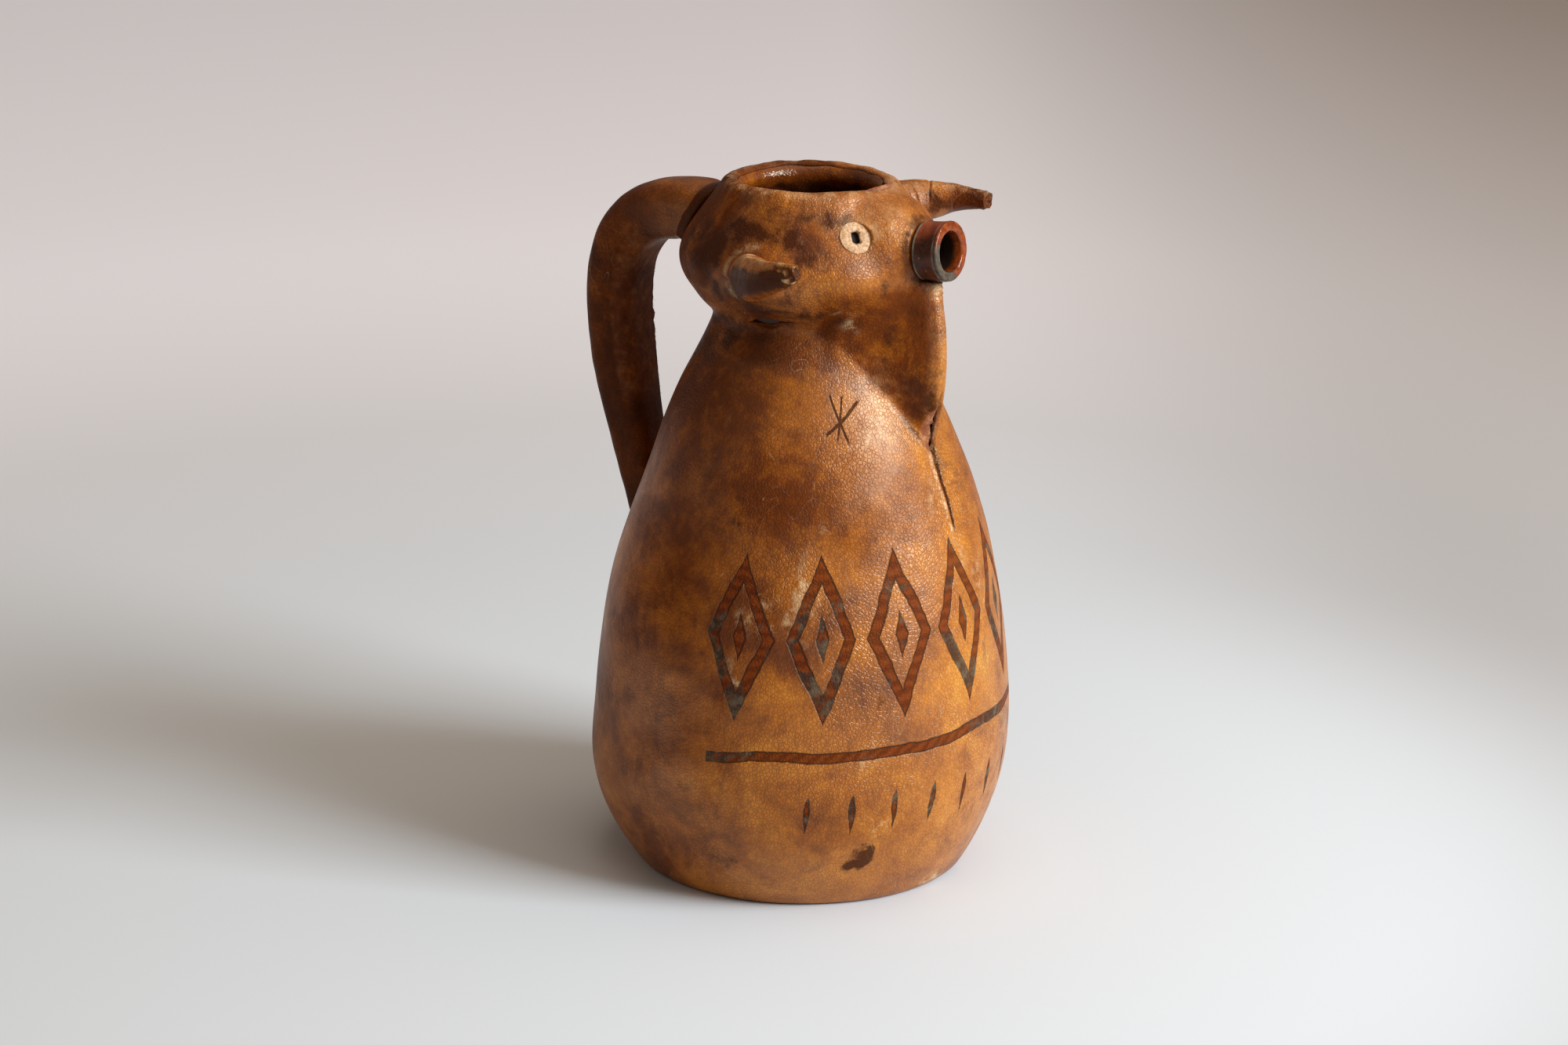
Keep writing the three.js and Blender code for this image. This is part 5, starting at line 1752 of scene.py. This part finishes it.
# %% Horn layers
def horn_layers(side, share, skin, out, creases, hollow):
    """The stain, tan and pale layers of one horn's skin, with painted shade and a painted highlight in them.
    """
    s, phi = share[:, None], signed(horn_phi)
    # Creases are darkened as painted shade, and the hide darkens towards the tip.
    dark = np.maximum(np.clip(creases, 0, 1), 0.7 * ease(0.76, 0.9, s))
    if side > 0:
        # The far horn's hollow is darkened as painted shade, and it has a dark blotch.
        dark = strongest(dark, 0.6 * hollow, 0.9 * hump(s, 0.58, 0.2) * hump(phi, 1.7, 0.9))
        # Its top is paler: wear and a painted highlight.
        second_tone = 0.25 * hump(phi, 0.2, 0.6) * ease(0.1, 0.25, s)
        return dark, 0.2 + 0.7 * ease(0.6, 0.9, s), second_tone
    # The near horn's hollow face: stain and painted shade; its underside: painted shade.
    dark = strongest(
        dark, 2.1 * hollow ** 1.1 + 0.6 * hollow * ripple(skin, 4, 45),
        0.3 * ease(0.1, -0.5, out[..., 2]) * ease(0.0, 0.15, s))
    # Its top ridge is paler, as wear and a painted highlight, and its tip is flecked pale.
    second_tone = np.maximum(
        hump(phi, 0.12, 0.55) * ease(0.05, 0.2, s) * (0.65 - 0.3 * s),
        ease(0.84, 0.94, s) * ease(0.1, 0.5, ripple(skin, 1.8, 42)))
    # Its underside is browner: painted shade.
    return dark * (1 - np.clip(1.4 * second_tone, 0, 1)), 0.9 * ease(0.5, -0.1, out[..., 2]), second_tone


print("horn layers ready")

# %% [markdown]
# The rings of one horn are joined in order: the inner end of the bore, the bore, the skin and the blunt
# cap at the tip. The first and the last ring each shrink to one point, so those faces are triangles.

# %% Horns
CAP_SIZES = (0.75, 0.45, 0.15, 0.0)
CAP_DEPTHS = np.array([0.1, 0.8, 1.1, 1.1])
CAP_ROUGH = np.array([1, 1, 1, 0])
horns = {}
for word, side in SIDES:
    share = np.concatenate([np.linspace(0.03, 0.94, 88), [0.97, 0.99, 1.0]])
    sizes = [np.interp(share, HORN_KNOTS, values)[:, None] for values in HORN_SIZES[side]]
    skin = horn_rings(side, share, *sizes)
    out = unit(skin - skin.mean(axis=1, keepdims=True))
    swell, creases, hollow = horn_relief(side, share, skin)
    skin = skin + out * swell[..., None]
    bore_share = np.linspace(0.70, 0.06, 16)
    bore_size = (10 - 6.6 * bore_share - COVER + 0.1)[:, None]
    bore = horn_rings(side, bore_share, bore_size, bore_size, bowed=False)
    bore_middle = bore[0].mean(axis=0)
    bore_end = np.stack([bore_middle + (bore[0] - bore_middle) * k for k in (0.0, 0.5)])
    tip_middle = skin[-1, :-1].mean(axis=0)
    cap = np.stack([tip_middle + (skin[-1] - tip_middle) * k for k in CAP_SIZES])
    inward = unit(horn_line(side, 0.96) - horn_line(side, 1.0))
    cap += inward * CAP_DEPTHS[:, None, None]
    cap += inward * (0.5 * ripple(cap, 1.4, 39 + side) * CAP_ROUGH[:, None])[..., None]
    rings = np.concatenate([bore_end, bore, skin, cap])
    rings[:, -1] = rings[:, 0]
    ids = numbered(len(rings), HORN_COLUMNS + 1, 0, (len(rings), len(rings)))
    ids[0, :] = ids[0, 0]
    ids[-1, :] = ids[-1, 0]
    faces = [[i for n, i in enumerate(face) if i not in face[:n]] for face in quads(ids)]
    root = len(bore_end) + len(bore)
    on_skin = slice(root, root + len(share))
    layers = {layer: np.zeros(rings.shape[:2]) for layer in LAYERS}
    for layer, values in zip(LAYERS, horn_layers(side, share, skin, out, creases, hollow)):
        layers[layer][on_skin] = values
    layers["raw"][:root] = 1.0
    layers["raw"][on_skin] = 0.3 * ease(0.95, 1.0, share[:, None])
    layers["raw"][on_skin.stop:] = 0.3
    layers["stain_and_shade"][on_skin.stop:] = 0.8
    flat_layers = {layer: values.ravel() for layer, values in layers.items()}
    horns[word] = make_piece(f"horn_{word}_hide", rings.reshape(-1, 3), faces, amber_hide, flat_layers)

# %% [markdown]
# ## Frayed fibres
# Raw hide frays where it is cut: in the gape of the front seam and along the seam of the handle. A small
# Geometry Nodes tree strews thin tapered hairs along a path, each turned and scaled at random with a
# fixed seed.

# %% Fray tool
FRAY_INPUTS = (
    ("Path", "Geometry", None), ("Spacing", "Float", 0.001), ("Hair length", "Float", 0.002),
    ("Hair radius", "Float", 0.0001), ("Spread", "Float", 0.8), ("Seed", "Int", 0),
    ("Material", "Material", None),
)


def fray_tool():
    tree, given = node_tool("fray", FRAY_INPUTS, "Fibres")
    curve = wire(tree, "GeometryNodeMeshToCurve", {0: given["Path"]})
    spaced = {"Curve": curve, "Length": given["Spacing"]}
    dots = wire(tree, "GeometryNodeResampleCurve", spaced, mode="LENGTH")
    hair = wire(tree, "GeometryNodeMeshCone", {
        "Vertices": 5, "Radius Top": 0.00001, "Radius Bottom": given["Hair radius"],
        "Depth": given["Hair length"],
    }, "Mesh")
    outward = wire(tree, "GeometryNodeInputNamedAttribute", {0: "outward"}, data_type="FLOAT_VECTOR")
    any_way = {0: (-1, -1, -1), 1: (1, 1, 1), "Seed": given["Seed"]}
    jitter = wire(tree, "FunctionNodeRandomValue", any_way, data_type="FLOAT_VECTOR")
    scattered = wire(tree, "ShaderNodeVectorMath", {0: jitter, 3: given["Spread"]}, operation="SCALE")
    aim_at = wire(tree, "ShaderNodeVectorMath", {0: outward, 1: scattered}, operation="ADD")
    turned_hair = wire(tree, "FunctionNodeAlignRotationToVector", {"Vector": aim_at}, axis="Z")
    any_size = {2: 0.4, 3: 1.3, "Seed": given["Seed"]}
    size = wire(tree, "FunctionNodeRandomValue", any_size, 1, data_type="FLOAT")
    strewn = wire(tree, "GeometryNodeInstanceOnPoints", {
        "Points": dots, "Instance": hair, "Rotation": turned_hair, "Scale": size})
    strewn = wire(tree, "GeometryNodeRealizeInstances", {0: strewn})
    strewn = wire(tree, "GeometryNodeSetMaterial", {"Geometry": strewn, "Material": given["Material"]})
    put(tree, "NodeGroupOutput", {0: strewn})
    return tree


fray = fray_tool()
print("fray tool has", len(fray.nodes), "nodes")

# %% [markdown]
# The fibres of the front seam stand along both edges of the gape and in the groove below it. Those of the
# handle stand along the two raw edges of its wrap.

# %% Fibres
GAPE_FIBRES = (162, 173)
HANDLE_FIBRES = slice(90, 190)
straw = Finish("raw_fibre", Roughness=0.8, Specular_IOR_Level=0.3)
straw.drive("Base Color", straw.ramp(
    straw.cloud(1.5, 3), (0.3, (0.22, 0.10, 0.04)), (0.5, (0.48, 0.29, 0.13)), (0.7, (0.68, 0.50, 0.28))))


def strew(name, paths, **inputs):
    points, edges, outward = [], [], []
    for path, out in paths:
        edges += [(len(points) + i, len(points) + i + 1) for i in range(len(path) - 1)]
        points += list(path)
        outward += list(out)
    inputs = {"Material": straw.material, **inputs}
    return shaped_by(fray, name, points, edges, "outward", outward, inputs)


def edge_paths(shown, out, rows, sunk):
    """Lines along the first and last column of a grid, sunk a little into the hide."""
    return [((shown - sunk * out)[rows, column], out[rows, column]) for column in (0, -1)]


gape_rows = np.where((front > GAPE_FIBRES[0]) & (front < GAPE_FIBRES[1]))[0]
seam_paths = edge_paths(body_shown, body_out, gape_rows, 0.3)
groove = (body_skin[gape_rows, 0] + body_skin[gape_rows, -1]) / 2 + 0.5 * body_out[gape_rows, 0]
seam_paths.append((groove, body_out[gape_rows, 0]))
seam_fibres = strew("seam_fibres", seam_paths, Spacing=0.25 * MM, Hair_length=3.0 * MM,
                    Hair_radius=0.16 * MM, Spread=1.3, Seed=4)
handle_paths = edge_paths(handle_shown, handle_out, HANDLE_FIBRES, 0.4)
handle_fibres = strew("handle_fibres", handle_paths, Spacing=1.1 * MM, Hair_length=1.8 * MM,
                      Hair_radius=0.12 * MM, Seed=9)

# %% [markdown]
# ## Hidden cores
# The clay inside the handle and the pegs inside the horns never show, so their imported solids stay. They
# still get finishes of their own, for anyone who takes the jug apart.

# %% Hidden cores
wood = Finish("peg_wood", Roughness=0.72)
rings_of_growth = wood.cloud(2.2, 5, 0.6, 0.8, stretch=(6, 1, 1))
wood.drive("Base Color", wood.ramp(rings_of_growth, (0.35, (0.22, 0.115, 0.045)), (0.65, (0.42, 0.26, 0.12))))
wood.drive("Normal", wood.relief(rings_of_growth, 0.15))
cores = {"handle_core": red_glaze.material, "horn_core_left": wood.material, "horn_core_right": wood.material}
for node, material in cores.items():
    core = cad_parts[node]
    core.data.materials.clear()
    core.data.materials.append(material)
print("cores dressed")

# %% [markdown]
# ## Tie the pieces to the imported model
# Every piece rides on the one body, and the imported node that it stands for is hidden. The table also
# lists a finish slot for each piece, which nothing here uses.

# %% Ride and replace
ties = [
    (body_hide, "body_cover", "amber_hide"), (head_hide, "head_cover", "amber_hide"),
    (mouth_strip, "mouth_lining", "amber_hide"), (handle_hide, "handle_wrap", "amber_hide"),
    (horns["left"], "horn_wrap_left", "amber_hide"), (horns["right"], "horn_wrap_right", "amber_hide"),
    (glazed_jug, "earthenware_jug", "glazed_clay"), (spout_tube, "spout_tube", "glazed_clay"),
    (spout_collar, "spout_collar", "dark_hide"), (sole_hide, "base_sole", "dark_hide"),
    (eyes["left"], "eye_inlay_left", "pale_hide"), (eyes["right"], "eye_inlay_right", "pale_hide"),
]
for piece, node, finish_slot in ties:
    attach(piece, "root")
    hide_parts(node)
for piece in (seam_fibres, handle_fibres):
    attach(piece, "root")
print(len(ties) + 2, "pieces tied")
